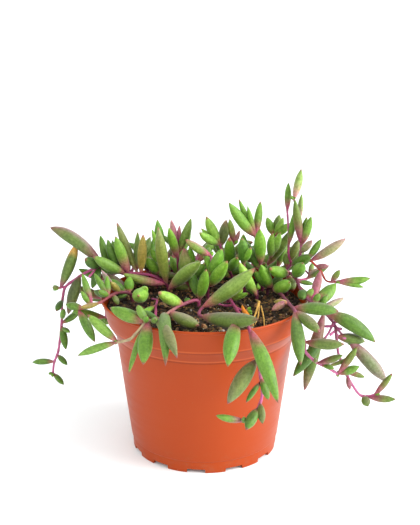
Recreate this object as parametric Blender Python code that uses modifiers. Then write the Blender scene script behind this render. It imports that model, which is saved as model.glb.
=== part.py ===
"""Trailing succulent with spindle leaves on ruby stems, in a 12 cm terracotta-coloured nursery pot.

The origin is on the pot's axis at the level that it stands on, +X is the viewer's right and +Y
points away from the viewer. Lengths below are in millimetres and become metres when a shape is made.
"""

import math
import random

import bmesh
import bpy
import numpy as np
from mathutils import Vector

MM = 0.001
OBJECT_NAME = "trailing_succulent_in_pot"

POT_HEIGHT = 93.0
RIM_RADIUS = 60.0
RIM_LIP = 1.2
RIM_BAND_FOOT_RADIUS = 56.5
RIM_BAND_FOOT_Z = 79.0
BODY_TOP_RADIUS = 52.0
BODY_TOP_Z = 72.0
FOOT_RING_TOP_RADIUS = 43.8
FOOT_RING_TOP_Z = 7.5
FOOT_RING_STEP = 0.5
FOOT_RADIUS = 42.9
FOOT_RING_WALL = 2.0
WALL = 1.2
FLOOR_UNDER_Z = 3.2
FLOOR_TOP_Z = 4.6
POT_TURN_STEPS = 36
SOIL_TURN_STEPS = 24

NOTCH_COUNT = 12
NOTCH_WIDTH = 10.8
NOTCH_HEIGHT = 2.4
FIRST_NOTCH_DEG = -96.5
DRAIN_HOLE_COUNT = 8
DRAIN_HOLE_RADIUS = 3.0
DRAIN_HOLE_CIRCLE = 29.0
DRAIN_HOLE_SIDES = 10
STEM_HOLE_SIDES = 5

PIECE_GAP = 0.3
SOIL_TOP_Z = 86.5
SOIL_BUMP = 0.9
SOIL_RINGS = (54.0, 40.0, 20.0)
SOIL_WAVE_X = 6.1
SOIL_WAVE_Y = 7.3
SOIL_LONG_WAVE_X = 13.0
SOIL_LONG_WAVE_Y = 9.0
SOIL_LONG_WAVE_SHARE = 0.6
STEM_HOLE_DEPTH = 8.0

STEM_RADIUS = 1.0
TWIG_RADIUS = 0.8
STEM_TIP_SHARE = 0.75
LEAF_ROOT_RADIUS = 0.75
LEAF_ROOT_SHARE = 0.3
LEAF_FULLEST = 1.12
LEAF_PLUMPNESS = 0.58
LONG_LEAF = 29.0
LONG_LEAF_SHARES = (0.0, 0.22, 0.52, 0.84, 1.0)
SHORT_LEAF_SHARES = (0.0, 0.3, 0.78, 1.0)
PLUMP_LEAF = 5.5
LEAF_CURL = 0.03

CLEARANCE = 0.55
LEAF_SAMPLES = 12
STEM_SAMPLE_STEP = 1.2
# A leaf that would touch another spray, the pot or the soil is swung along this direction.
SWING_DIRECTION = Vector((0.0, 0.952, -0.306))
SWINGS = (0, 2, -2, 4, -4, 6, -6, 8, -8, 11, -11, 14, -14, 18, -18)
LIFTS = (0, 2, 4, 7, 10)
ARCHES = (0, 1.5, 3, 5, 7)
SHRINKS = (1.0, 0.85, 0.7)
SHRINK_COST = 60.0
ARCH_COST = 2.0
LIFT_COST = 1.5

# Each spray is a list of stems. The first one stands in the soil below its first point, and the
# others grow from an earlier one. A stem is its route and its leaves, and a leaf is its station
# along the route (2.5 is halfway from point 2 to point 3), the place of its tip, its girth and, for
# a leaf with a bow of its own, how far its middle stands above the straight line.
SPRAYS = {
    "left_trailing": [
        (
            [
                (-22, 21, 91), (-30, 19, 98), (-38, 18, 100), (-47, 17, 101), (-55, 17, 103),
                (-62, 17, 105), (-69, 17, 102), (-74, 17, 99), (-83, 18, 92), (-85, 19, 86),
                (-86, 20, 79), (-87, 21, 66), (-90, 23, 48), (-93, 24, 40), (-94, 24, 33),
            ],
            [
                (-0.2, (-2, -14, 117.7), 7.4, 1), (0.2, (-48, 10, 102.5), 5.4), (2.0, (-36, 16, 125), 5.3),
                (2.2, (-52, 24, 130), 5.3), (2.3, (-40, 28, 123), 4.2), (2.8, (-52, 12, 125), 7.0),
                (3.0, (-65, 8, 114), 7.2), (3.4, (-55, 24, 119), 4.2), (3.6, (-57, 16, 122), 5.9),
                (4.3, (-62, 24, 122), 4.8), (4.7, (-91, 20, 128), 8.3, 4), (5.0, (-70, 10, 112), 7.0),
                (7.0, (-81, 8, 78), 7.1, 2), (9.5, (-88, 8, 80), 4.1), (10.7, (-84, 12, 80), 3.6),
                (10.9, (-75, 20, 76), 4.2),
                (11.0, (-84, 14, 53), 4.8), (11.1, (-81, 14, 64), 3.0), (12.3, (-84, 18, 41), 3.7),
                (12.9, (-107, 27, 39), 4.3), (14.0, (-87, 20, 27), 3.7), (0.15, (-27, 14, 130), 6.8),
                (5.0, (-66, 6, 95), 5.0),
            ],
        ),
        ([(-83, 18, 92), (-87, 18, 91)], [(0.8, (-75.5, 20, 119), 7.2), (1.0, (-91, 17, 92), 2.4)]),
        ([(-62, 17, 105), (-65, 13, 103.5), (-68, 9, 101)], []),
    ],
    "left_rim": [
        (
            [
                (-43, 5, 91), (-49, -1, 95), (-54, -12, 96.5), (-58, -20, 96), (-63, -23, 95),
                (-67, -25, 94.5), (-71, -25, 93),
            ],
            [
                (0.3, (-44, 10, 101), 5.4), (0.5, (-55, 2, 102), 5.8), (1.0, (-54, -8, 104), 4.0),
                (1.3, (-60, 4, 107), 3.5), (2.0, (-60, -18, 102), 4.0), (2.1, (-63, -8, 109), 4.0),
                (2.2, (-56, -6, 107), 3.4), (3.2, (-69, -32, 97), 3.3), (4.0, (-69, -16, 112), 3.9),
                (4.2, (-69, -24, 104), 3.4), (5.2, (-78, -24, 96), 4.8), (6.0, (-61, -36, 78), 5.6),
                (1.9, (-64, -4, 97), 4.6), (0.3, (-51, 0, 91), 3.0), (1.7, (-49, -14, 92), 3.2),
                (0.2, (-58, 14, 101.5), 7.0),
            ],
        ),
        (
            [(-43, 5, 91), (-40, 2, 93.5), (-36, 0, 95)],
            [(2.0, (-37, -24, 101), 8.6), (1.4, (-33, -16, 103), 5.0)],
        ),
    ],
    "front_left": [
        (
            [
                (-4, -2, 90), (-13, -10, 90.5), (-18, -20, 91), (-25, -44, 94.5), (-31, -52, 96),
                (-36, -57, 92), (-40, -57, 88), (-47, -51, 84),
            ],
            [
                (0.9, (-26, -18, 101), 6.8), (2.2, (-3, -52, 92), 7.2), (2.6, (-20, -78, 80), 6.9),
                (3.0, (-33, -34, 96), 2.8), (3.3, (-14, -80, 87), 6.3), (3.5, (-26, -58, 100), 3.7),
                (3.9, (-32, -72, 80), 8.0), (3.9, (-51, -46, 102), 7.6), (4.0, (-36, -50, 105), 4.8),
                (4.1, (-31, -56, 101), 3.2), (4.3, (-40, -70, 74), 3.2), (7.0, (-63, -49, 99), 5.9, 0),
                (7.0, (-69, -51, 76), 4.9), (0.5, (-11, 0, 90.6), 3.4),
            ],
        ),
        (
            [
                (-27, -47, 95), (-27, -38, 93.3), (-27.5, -24, 91), (-28, -8, 89.4), (-28, 3, 88.8),
                (-31, 5, 88.8),
            ],
            [(3.0, (-35, -26, 90), 3.2)],
        ),
    ],
    "front_middle": [
        (
            [(3, -6, 90), (-1, -14, 90.5), (-3, -25, 91.5), (-2, -35, 93), (7, -46, 95), (17, -55, 97)],
            [
                (1.0, (28, -18, 115), 8.5), (3.0, (28, -66, 101), 9.4), (5.0, (12, -80, 82), 8.6),
            ],
        ),
    ],
    "front_right": [
        (
            [
                (14, 3, 90), (16, -6, 90.3), (19, -22, 90.5), (22, -40, 91.5), (23, -56, 95.5),
                (25, -63, 92), (26, -65, 88), (28, -65, 80), (30, -65, 69), (31, -64, 59),
                (29, -64, 51), (26, -66, 47), (22, -68, 45.5),
            ],
            [
                (4.3, (38, -85, 64), 8.0, 3), (7.0, (12, -82, 62), 8.4), (7.0, (14, -70, 66), 5.3),
                (8.0, (34, -71, 59), 4.3), (8.2, (22, -74, 59), 3.2), (9.6, (31, -71, 45), 4.3),
                (10.0, (22, -76, 44), 5.9), (12.0, (6, -73, 51), 4.3), (12.0, (20, -73, 49), 2.4),
                (-0.1, (22, -6, 99), 4.4), (-0.1, (25, -8, 97), 3.4),
            ],
        ),
        ([(16.6, -10, 90.3), (12, -8, 89.2), (7.5, -4, 89)], []),
        ([(16.6, -10, 90.3), (20, -14, 89.2), (24.5, -15.5, 89)], []),
    ],
    "right_hanging": [
        (
            [
                (38, 18, 91), (41, 12, 92), (45, 0, 93), (48, -22, 95), (50, -36, 96),
                (53, -43, 89), (55, -43, 81), (56, -41, 74), (62, -38, 67), (68, -36, 63),
                (75, -34, 58),
            ],
            [
                (0.6, (33, 8, 109), 6.2), (1.0, (49.5, -0.5, 101), 8.2), (3.6, (74, -34, 95.5), 7.6),
                (3.9, (51, -66, 77), 7.5), (4.0, (62, -52, 90), 6.5), (6.0, (76, -49, 82), 6.6),
                (8.0, (61, -45, 72), 2.4), (8.2, (76, -45, 74), 4.4), (8.6, (72, -41, 64), 3.3),
                (9.0, (86, -30, 68), 2.8), (10.0, (85, -37, 76), 4.5), (10.0, (87, -35, 63), 5.1),
                (2.7, (38, -22, 91.5), 4.0), (2.9, (40, -8, 91.5), 3.6), (0.3, (47, 25, 98), 5.0),
                (0.3, (29.5, 10, 104.5), 5.4),
            ],
        ),
    ],
    "right_trailing": [
        (
            [
                (49, 14, 91), (48.5, 16, 97), (50.5, 13, 102), (54, 7, 100), (56, -5, 97),
                (59, -16, 96), (66.5, -18, 90.5), (74, -14, 81), (75, -20, 77), (76, -26, 67),
                (79, -28, 60), (81, -30, 55), (84, -32, 50), (88, -34, 45), (92, -35, 44.5),
                (96, -36, 46),
            ],
            [
                (1.8, (38, 8, 106.5), 7.0), (1.5, (52.5, 3, 94.5), 6.0), (2.6, (57, 2, 112), 7.4),
                (3.2, (64, 6, 97.5), 3.2), (4.0, (56, -17, 96.8), 5.5), (5.3, (67, 0, 108), 5.3),
                (5.9, (80, -10, 95), 4.0), (5.5, (76, -4, 101.5), 7.8), (4.9, (62, -10, 100.5), 4.6),
                (6.3, (97, -24, 73), 8.6, 3), (8.2, (92, -18, 71), 7.0),
                (10.6, (91, -30, 54), 3.4), (11.0, (82, -36, 49), 3.0), (13.5, (92, -40, 40.5), 5.1),
                (14.0, (107, -42, 46), 4.5), (15.0, (105, -38, 60), 3.9), (6.2, (57, -30, 46), 7.6),
                (5.4, (64.5, -20, 101), 4.4), (5.8, (69.5, -17, 99), 4.2),
            ],
        ),
        (
            [(74, -14, 81), (71, -19, 77), (67, -23, 73)],
            [(1.5, (50, -30, 55), 6.8)],
        ),
        ([(74, -14, 81), (78, -17, 76), (82, -20, 73)], [(2.0, (105, -24, 48), 8.6, 1)]),
        (
            [(54, 7, 100), (60, 14, 98), (63, 20, 98), (60, 25, 100.5)],
            [(1.2, (69, 20, 103), 4.2), (2.0, (65, 25, 105), 3.4), (1.0, (74, 16, 106), 3.4)],
        ),
    ],
    "right_crown": [
        (
            [(44, 26, 91), (47, 24, 98), (52, 21, 105), (56, 16, 111), (57, 14, 119)],
            [
                (2.0, (62, 4, 116), 7.0), (3.4, (62, 4, 125), 4.6), (3.9, (60, 18, 135), 4.7),
                (4.0, (62, 12, 137), 5.4), (4.0, (52, 10, 148), 5.2), (1.6, (49, 26, 110.5), 4.8),
            ],
        ),
        (
            [(52, 21, 105), (50, 20, 112), (50, 20, 121), (48.7, 20.5, 138)],
            [(3.0, (49, 21, 155), 4.0), (1.6, (53, 16, 140), 4.1), (0.4, (56, 22, 120), 5.2)],
        ),
        (
            [(57, 14, 119), (55.5, 18, 132), (52.2, 17, 146)],
            [(2.0, (56, 18, 164), 5.2), (1.0, (57, 22, 148), 3.5)],
        ),
        (
            [(56, 16, 111), (62, 9, 111), (65, 6, 109), (68, 4, 106), (71, 2, 101), (76, 0, 101)],
            [
                (0.7, (68, 10, 124), 4.7), (1.0, (82, 8, 125), 5.8), (2.0, (72, 2, 110), 3.5),
                (4.5, (78, -2, 109), 4.0), (5.0, (96, -2, 104), 5.4), (5.0, (92, -4, 99), 3.4),
            ],
        ),
    ],
    "centre_right": [
        (
            [(35, 25, 91), (34, 20, 102), (32, 18, 114), (30, 18, 123)],
            [
                (1.3, (32, 8, 131), 6.8), (1.0, (22.5, 24, 120), 6.2), (3.0, (33, 24, 143), 4.9),
                (3.0, (14, 10, 146), 7.0), (3.0, (20, 18, 146), 4.1), (3.0, (25, 14, 143), 3.5),
            ],
        ),
    ],
    "far_right": [
        (
            [(34, 37, 91), (38, 34, 100), (42, 31, 111), (42, 30, 120)],
            [
                (1.0, (52.5, 28, 124.6), 6.2), (1.5, (39.5, 10, 127.6), 5.5), (1.7, (44, 8, 128.6), 4.6),
                (3.0, (37.5, 32, 131), 5.4), (3.0, (45, 34, 132), 5.4),
                (3.0, (47, 28, 132), 4.6), (3.0, (51, 26, 129), 5.2),
                (0.0, (22, 42, 102), 5.0), (0.1, (45, 37, 102), 5.0), (0.3, (36, 24, 105), 5.0),
            ],
        ),
    ],
    "centre_left": [
        (
            [(17, 32, 91), (15, 29, 99), (13, 26, 106), (9, 22, 117)],
            [
                (1.0, (19, 6, 114), 5.6), (0.75, (14.5, 13.5, 124), 6.8), (2.8, (13, 30, 130), 6.0),
                (3.0, (1, 16, 136), 6.4), (3.0, (-2, 22, 127), 3.6), (3.0, (-3, 10, 128), 5.2),
                (0.25, (6, 31, 103), 5.0),
            ],
        ),
        (
            [(13, 26, 106), (15, 27, 111), (18, 28, 115.5)],
            [(2.0, (15, 28, 131), 4.4), (2.0, (21, 28, 124), 2.6)],
        ),
    ],
    "centre": [
        (
            [(24, 16, 91), (24, 14, 99), (23, 13, 109)],
            [
                (1.7, (22, 8, 125), 6.0),
                (2.0, (23, 20, 124), 5.3), (2.0, (27, 6, 120), 4.0),
            ],
        ),
    ],
    "middle_left": [
        (
            [(2, 11, 91), (2, 9, 97), (4, 8, 104), (4, 12, 113)],
            [
                (0.6, (13, -4, 115), 6.9), (1.5, (10, 4, 120), 6.9),
                (1.8, (1, 12, 115), 2.9), (3.0, (-11, 12, 123), 5.3),
            ],
        ),
    ],
    "left_middle": [
        (
            [(-8, 22, 91), (-7, 20, 97), (-6, 18, 106)],
            [
                (-0.1, (-12, 15, 117), 8.8), (0.6, (0, 14, 108), 5.0), (2.0, (-9, 14, 118), 3.5),
                (0.0, (-20, 10, 93.5), 5.0),
            ],
        ),
    ],
    "far_left": [
        (
            [(-14, 34, 91), (-16, 30, 101), (-16, 28, 112)],
            [
                (0.5, (-10, 26, 112), 6.0), (1.4, (-21, 20, 128), 5.3), (2.0, (-20, 30, 130), 4.2),
                (2.0, (-15, 32, 126), 3.0), (1.7, (-8, 26, 132), 5.6), (0.2, (-34, 31, 98), 5.0),
                (0.1, (-3, 36, 103), 5.0), (0.3, (-21, 37, 105), 5.0),
            ],
        ),
    ],
    "low_middle": [
        (
            [(-3, 4, 89.5), (-3.5, 4.5, 92.5)],
            [(-0.1, (1, -4, 110), 6.2), (0.0, (-9, 9, 106), 5.4)],
        ),
    ],
    "low_right": [
        (
            [(31, 9, 90), (31, 9.5, 93)],
            [(-0.1, (20, 0, 113), 5.8), (0.0, (24, 5, 99), 4.4)],
        ),
    ],
    "far_middle": [
        (
            [(2, 38, 90), (2, 37, 95), (1, 36, 100)],
            [
                (0.3, (-12, 40, 101), 5.0), (0.5, (15, 42, 102), 5.0), (1.2, (4, 24, 104), 5.0),
                (2.0, (3, 46, 108), 5.0),
            ],
        ),
    ],
    "far_corner": [
        (
            [(-26, 40, 90), (-26, 39, 95)],
            [(0.5, (-43, 35, 97.5), 5.4), (1.0, (-15, 44, 102), 5.0)],
        ),
    ],
    "left_upright": [
        (
            [(-29, 30, 91), (-26, 25, 100), (-25, 22, 108)],
            [
                (0.5, (-21, 22, 104), 6.0), (0.7, (-35, 22, 109), 6.0),
                (1.5, (-32, 20, 115), 4.7), (2.0, (-28, 24, 132), 5.9), (2.0, (-31, 20, 127), 3.5),
            ],
        ),
    ],
}

# The far side's sprays come up by the rim, bend over it and hang outside the pot.
BACK_SEED = 11
BACK_HEADINGS_DEG = (39, 57, 76, 95, 114, 133, 152)
BACK_ROUTE = ((50.0, 94.0), (57.0, 97.5), (64.0, 95.0), (69.0, 86.0), (71.0, 75.0), (72.0, 64.0))
BACK_DROP_SPREAD = 0.25
BACK_SWAY = 5.0
BACK_LEAF_COUNT = 8
BACK_LEAF_LENGTH = (17.0, 30.0)
BACK_LEAF_GIRTH = (4.6, 7.0)
BACK_FIRST_LEAF = 0.4
BACK_RISE_OVER_RIM = (0.15, 0.75)
BACK_RISE_HANGING = (-0.5, 0.6)
BACK_OUTWARD = (0.2, 0.7)
BACK_ASIDE = (0.35, 0.9)
BACK_REACH_Y = 81.0
# Each of them also has a leaf that lies along the inside of the rim.
RIM_LEAF_WAY = (-0.3, 0.9, -0.12)
RIM_LEAF_LENGTH = 17.0
RIM_LEAF_GIRTH = 5.2


def clear_scene():
    for obj in list(bpy.data.objects):
        bpy.data.objects.remove(obj, do_unlink=True)


def new_collection(name, hidden):
    collection = bpy.data.collections.new(name)
    bpy.context.scene.collection.children.link(collection)
    collection.hide_render = hidden
    return collection


def new_material(name, colour, roughness):
    material = bpy.data.materials.new(name)
    material.use_nodes = True
    shader = material.node_tree.nodes["Principled BSDF"]
    shader.inputs["Base Color"].default_value = (*colour, 1.0)
    shader.inputs["Roughness"].default_value = roughness
    shader.inputs["Metallic"].default_value = 0.0
    return material


def new_object(name, mesh, collection, material=None):
    obj = bpy.data.objects.new(name, mesh)
    collection.objects.link(obj)
    if material:
        mesh.materials.append(material)
    return obj


def new_cutter(name, mesh, collection):
    obj = new_object(name, mesh, collection)
    obj.hide_render = True
    obj.display_type = "WIRE"
    return obj


def mesh_from(shape, name):
    mesh = bpy.data.meshes.new(name)
    shape.to_mesh(mesh)
    shape.free()
    return mesh


def turned(name, profile, steps, collection, material):
    """A profile of (radius, height) points turned about the upright axis."""
    shape = bmesh.new()
    points = [shape.verts.new((radius * MM, 0.0, height * MM)) for radius, height in profile]
    for first, second in zip(points, points[1:]):
        shape.edges.new((first, second))
    obj = new_object(name, mesh_from(shape, name), collection, material)
    screw = obj.modifiers.new("turn", "SCREW")
    screw.steps = steps
    screw.render_steps = steps
    screw.use_merge_vertices = True
    screw.merge_threshold = 0.00001
    return obj


def applied(obj):
    """Replaces an object's mesh by the one that its modifiers make."""
    graph = bpy.context.evaluated_depsgraph_get()
    made = bpy.data.meshes.new_from_object(obj.evaluated_get(graph))
    obj.modifiers.clear()
    old = obj.data
    obj.data = made
    bpy.data.meshes.remove(old)


def cut(obj, cutter):
    boolean = obj.modifiers.new("cut " + cutter.name, "BOOLEAN")
    boolean.operation = "DIFFERENCE"
    boolean.object = cutter


def smooth_shaded(obj, crease_deg):
    obj.data.shade_smooth()
    obj.data.set_sharp_from_angle(angle=math.radians(crease_deg))


def foot_notches(collection):
    """Boxes round the foot that reach from below it to the notch height."""
    shape = bmesh.new()
    for index in range(NOTCH_COUNT):
        angle = math.radians(FIRST_NOTCH_DEG + index * 360.0 / NOTCH_COUNT)
        made = bmesh.ops.create_cube(shape, size=1.0)["verts"]
        for vert in made:
            along = vert.co.x * 3 * FOOT_RING_WALL + FOOT_RADIUS
            across = vert.co.y * NOTCH_WIDTH
            height = vert.co.z * 2 * NOTCH_HEIGHT
            vert.co = Vector(
                (
                    along * math.cos(angle) - across * math.sin(angle),
                    along * math.sin(angle) + across * math.cos(angle),
                    height,
                )
            ) * MM
    return new_cutter("notch_cutter", mesh_from(shape, "notch_cutter"), collection)


def upright_rods(name, places, radius, low, high, sides, collection):
    """One mesh of upright rods at (x, y) places, used as a cutter."""
    shape = bmesh.new()
    for x, y in places:
        made = bmesh.ops.create_cone(
            shape,
            cap_ends=True,
            segments=sides,
            radius1=radius * MM,
            radius2=radius * MM,
            depth=(high - low) * MM,
        )["verts"]
        bmesh.ops.translate(shape, verts=made, vec=Vector((x, y, (low + high) / 2)) * MM)
    return new_cutter(name, mesh_from(shape, name), collection)


def drain_places():
    ring = [
        (
            DRAIN_HOLE_CIRCLE * math.cos(2 * math.pi * index / DRAIN_HOLE_COUNT),
            DRAIN_HOLE_CIRCLE * math.sin(2 * math.pi * index / DRAIN_HOLE_COUNT),
        )
        for index in range(DRAIN_HOLE_COUNT)
    ]
    return ring + [(0.0, 0.0)]


def make_pot(collection, cutters, material):
    lip_z = POT_HEIGHT - RIM_LIP
    inner_foot = FOOT_RING_TOP_RADIUS - FOOT_RING_STEP - WALL
    profile = [
        (0.0, FLOOR_TOP_Z),
        (inner_foot, FLOOR_TOP_Z),
        (BODY_TOP_RADIUS - WALL, BODY_TOP_Z + WALL / 4),
        (RIM_BAND_FOOT_RADIUS - WALL, RIM_BAND_FOOT_Z + WALL / 2),
        (RIM_RADIUS - WALL, POT_HEIGHT),
        (RIM_RADIUS, POT_HEIGHT),
        (RIM_RADIUS, lip_z),
        (RIM_RADIUS - RIM_LIP / 2, lip_z - RIM_LIP / 2),
        (RIM_BAND_FOOT_RADIUS, RIM_BAND_FOOT_Z),
        (BODY_TOP_RADIUS, BODY_TOP_Z),
        (FOOT_RING_TOP_RADIUS, FOOT_RING_TOP_Z),
        (FOOT_RING_TOP_RADIUS - FOOT_RING_STEP, FOOT_RING_TOP_Z - FOOT_RING_STEP),
        (FOOT_RADIUS, 0.0),
        (FOOT_RADIUS - FOOT_RING_WALL, 0.0),
        (FOOT_RADIUS - FOOT_RING_WALL, FLOOR_UNDER_Z),
        (0.0, FLOOR_UNDER_Z),
    ]
    pot = turned("pot", profile, POT_TURN_STEPS, collection, material)
    cut(pot, foot_notches(cutters))
    drains = upright_rods(
        "drain_cutter",
        drain_places(),
        DRAIN_HOLE_RADIUS,
        0.0,
        2 * FLOOR_TOP_Z,
        DRAIN_HOLE_SIDES,
        cutters,
    )
    cut(pot, drains)
    applied(pot)
    smooth_shaded(pot, 30)
    return pot


def soil_bump(x, y):
    """How far the soil stands above its mean level at a place."""
    short = math.sin(x / SOIL_WAVE_X + 0.8) * math.cos(y / SOIL_WAVE_Y)
    long = math.sin(x / SOIL_LONG_WAVE_X - y / SOIL_LONG_WAVE_Y)
    return SOIL_BUMP * (short + SOIL_LONG_WAVE_SHARE * long) / (1 + SOIL_LONG_WAVE_SHARE)


def wall_inner_radius(z):
    share = (z - RIM_BAND_FOOT_Z) / (POT_HEIGHT - RIM_BAND_FOOT_Z)
    return RIM_BAND_FOOT_RADIUS - WALL + share * (RIM_RADIUS - RIM_BAND_FOOT_RADIUS)


def make_soil(collection, cutters, material, places):
    inner_foot = FOOT_RING_TOP_RADIUS - FOOT_RING_STEP - WALL
    profile = [(0.0, SOIL_TOP_Z)]
    profile += [(radius, SOIL_TOP_Z) for radius in reversed(SOIL_RINGS)]
    profile += [
        (wall_inner_radius(SOIL_TOP_Z) - 2 * PIECE_GAP, SOIL_TOP_Z),
        (RIM_BAND_FOOT_RADIUS - WALL - 2 * PIECE_GAP, RIM_BAND_FOOT_Z + WALL / 2),
        (BODY_TOP_RADIUS - WALL - 2 * PIECE_GAP, BODY_TOP_Z + WALL / 4),
        (inner_foot - 2 * PIECE_GAP, FLOOR_TOP_Z + PIECE_GAP),
        (0.0, FLOOR_TOP_Z + PIECE_GAP),
    ]
    soil = turned("potting_soil", profile, SOIL_TURN_STEPS, collection, material)
    applied(soil)
    for vert in soil.data.vertices:
        inside = math.hypot(vert.co.x, vert.co.y) / MM <= SOIL_RINGS[0] + 1
        if vert.co.z / MM > SOIL_TOP_Z - 1 and inside:
            vert.co.z += soil_bump(vert.co.x / MM, vert.co.y / MM) * MM
    holes = upright_rods(
        "stem_hole_cutter",
        places,
        STEM_RADIUS + 2 * PIECE_GAP,
        SOIL_TOP_Z - STEM_HOLE_DEPTH,
        POT_HEIGHT,
        STEM_HOLE_SIDES,
        cutters,
    )
    cut(soil, holes)
    applied(soil)
    smooth_shaded(soil, 40)
    return soil


def along(route, station):
    """The point of a route at a station, where whole numbers are the route's own points."""
    index = min(int(station), len(route) - 2)
    return route[index].lerp(route[index + 1], station - index)


def leaf_point(base, control, tip, share):
    """A point of the leaf's axis, which is a parabola from base to tip."""
    return base * (1 - share) ** 2 + control * 2 * share * (1 - share) + tip * share**2


def leaf_fullness(share):
    """The leaf's radius along it as a share of its largest: a spindle with a pointed tip."""
    return math.sin(math.pi * share**LEAF_FULLEST) ** LEAF_PLUMPNESS if 0 < share < 1 else 0.0


def leaf_radius(girth, share):
    radius = leaf_fullness(share) * girth / 2
    root = min(LEAF_ROOT_RADIUS, girth / 3)
    return max(radius, root) if share < LEAF_ROOT_SHARE else radius


def leaf_control(base, tip, bow):
    """The parabola's middle control point, which stands twice as far off the chord as the leaf."""
    return base.lerp(tip, 0.5) + Vector((0, 0, 2 * bow))


def natural_bow(base, tip):
    """A rising leaf curls up at its tip, and a hanging one is arched."""
    chord = tip - base
    return -LEAF_CURL * chord.length if chord.z > 0 else LEAF_CURL * chord.length


def leaf_balls(leaf):
    """Rows of x, y, z and radius along a leaf, clear of its root."""
    base, control, tip, girth = leaf
    rows = []
    for index in range(1, LEAF_SAMPLES + 1):
        share = index / LEAF_SAMPLES
        point = leaf_point(base, control, tip, share)
        rows.append((*point, leaf_radius(girth, share)))
    return np.array(rows)


def stem_radius(index):
    return STEM_RADIUS if index == 0 else TWIG_RADIUS


def stem_balls(route, radius):
    rows = []
    for start, end in zip(route, route[1:]):
        steps = max(2, math.ceil((end - start).length / STEM_SAMPLE_STEP))
        rows += [(*start.lerp(end, index / steps), radius) for index in range(steps + 1)]
    return np.array(rows)


def all_stem_balls(stems):
    rows = [stem_balls(route, stem_radius(index)) for index, (route, _) in enumerate(stems)]
    return np.concatenate(rows)


def gap_to_pot(balls):
    """The least gap between balls and the pot's wall, as a distance in the (radius, height) plane."""
    middle = [
        (RIM_RADIUS - WALL / 2, POT_HEIGHT - WALL / 2),
        (RIM_BAND_FOOT_RADIUS - WALL / 2, RIM_BAND_FOOT_Z),
        (BODY_TOP_RADIUS - WALL / 2, BODY_TOP_Z),
        (FOOT_RADIUS - WALL / 2, 0.0),
    ]
    places = np.stack([np.hypot(balls[:, 0], balls[:, 1]), balls[:, 2]], axis=1)
    least = np.inf
    for start, end in zip(np.array(middle), np.array(middle[1:])):
        run = end - start
        share = np.clip((places - start) @ run / (run @ run), 0, 1)
        apart = np.linalg.norm(places - start - share[:, None] * run, axis=1)
        least = min(least, (apart - balls[:, 3]).min() - WALL * 0.6)
    return least


def gap_to_soil(balls):
    inside = balls[np.hypot(balls[:, 0], balls[:, 1]) < RIM_RADIUS]
    if not len(inside):
        return np.inf
    return (inside[:, 2] - inside[:, 3]).min() - SOIL_TOP_Z - SOIL_BUMP


def gap_to_others(balls, others):
    if not len(others):
        return np.inf
    apart = np.linalg.norm(balls[:, None, :3] - others[None, :, :3], axis=2)
    return (apart - balls[:, None, 3] - others[None, :, 3]).min()


def bend_cost(way):
    shrink, arch, lift, swing = way
    return SHRINK_COST * (1 - shrink) + ARCH_COST * arch + LIFT_COST * lift + abs(swing)


def bend_options():
    """Ways to bend a leaf, the least first."""
    options = [
        (shrink, arch, lift, swing)
        for shrink in SHRINKS
        for arch in ARCHES
        for lift in LIFTS
        for swing in SWINGS
    ]
    return sorted(options, key=bend_cost)


def clear_leaf(base, tip, girth, bow, others, options):
    """The leaf with the least bend that keeps it clear of all else, or None."""
    for shrink, arch, lift, swing in options:
        moved = base.lerp(tip, shrink) + SWING_DIRECTION * swing + Vector((0, 0, lift))
        leaf = (base, leaf_control(base, moved, bow + arch), moved, girth * shrink)
        balls = leaf_balls(leaf)
        if gap_to_pot(balls) < CLEARANCE or gap_to_soil(balls) < CLEARANCE:
            continue
        if gap_to_others(balls, others) >= CLEARANCE:
            return leaf
    return None


def back_spray(heading_deg, draw):
    """One hanging stem on the far side, with leaves to its left and right by turns."""
    heading = math.radians(heading_deg)
    outward = Vector((math.cos(heading), math.sin(heading), 0))
    aside = Vector((-math.sin(heading), math.cos(heading), 0))
    drop = 1 + draw.uniform(-BACK_DROP_SPREAD, BACK_DROP_SPREAD)
    sway = draw.uniform(-BACK_SWAY, BACK_SWAY)
    route = []
    for index, (radius, height) in enumerate(BACK_ROUTE):
        lowered = height if height > POT_HEIGHT else POT_HEIGHT - (POT_HEIGHT - height) * drop
        share = index / (len(BACK_ROUTE) - 1)
        route.append(outward * radius + aside * sway * share**2 + Vector((0, 0, lowered)))
    leaves = []
    for index in range(BACK_LEAF_COUNT):
        span = len(route) - 1 - BACK_FIRST_LEAF
        station = BACK_FIRST_LEAF + index * span / (BACK_LEAF_COUNT - 1)
        side = 1 if index % 2 else -1
        length = draw.uniform(*BACK_LEAF_LENGTH)
        rise = draw.uniform(*(BACK_RISE_OVER_RIM if station < 2 else BACK_RISE_HANGING))
        way = outward * draw.uniform(*BACK_OUTWARD) + aside * side * draw.uniform(*BACK_ASIDE)
        way = (way + Vector((0, 0, rise))).normalized()
        tip = along(route, station) + way * length
        tip.y = min(tip.y, BACK_REACH_Y)
        leaves.append((station, tip, draw.uniform(*BACK_LEAF_GIRTH)))
    way = outward * RIM_LEAF_WAY[0] + aside * RIM_LEAF_WAY[1] + Vector((0, 0, RIM_LEAF_WAY[2]))
    leaves.append((0.0, route[0] + way.normalized() * RIM_LEAF_LENGTH, RIM_LEAF_GIRTH))
    return [(route, leaves)]


def all_sprays():
    """Every spray as named stems, with its points as vectors and a root piece below its first point."""
    sprays = {
        name: [([Vector(point) for point in route], leaves) for route, leaves in stems]
        for name, stems in SPRAYS.items()
    }
    draw = random.Random(BACK_SEED)
    for number, heading_deg in enumerate(BACK_HEADINGS_DEG, start=1):
        sprays[f"back_{number}"] = back_spray(heading_deg, draw)
    for stems in sprays.values():
        first = stems[0][0][0]
        buried = Vector((first.x, first.y, SOIL_TOP_Z - STEM_HOLE_DEPTH + 2 * PIECE_GAP))
        stems[0][0].insert(0, buried)
    return sprays


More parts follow.
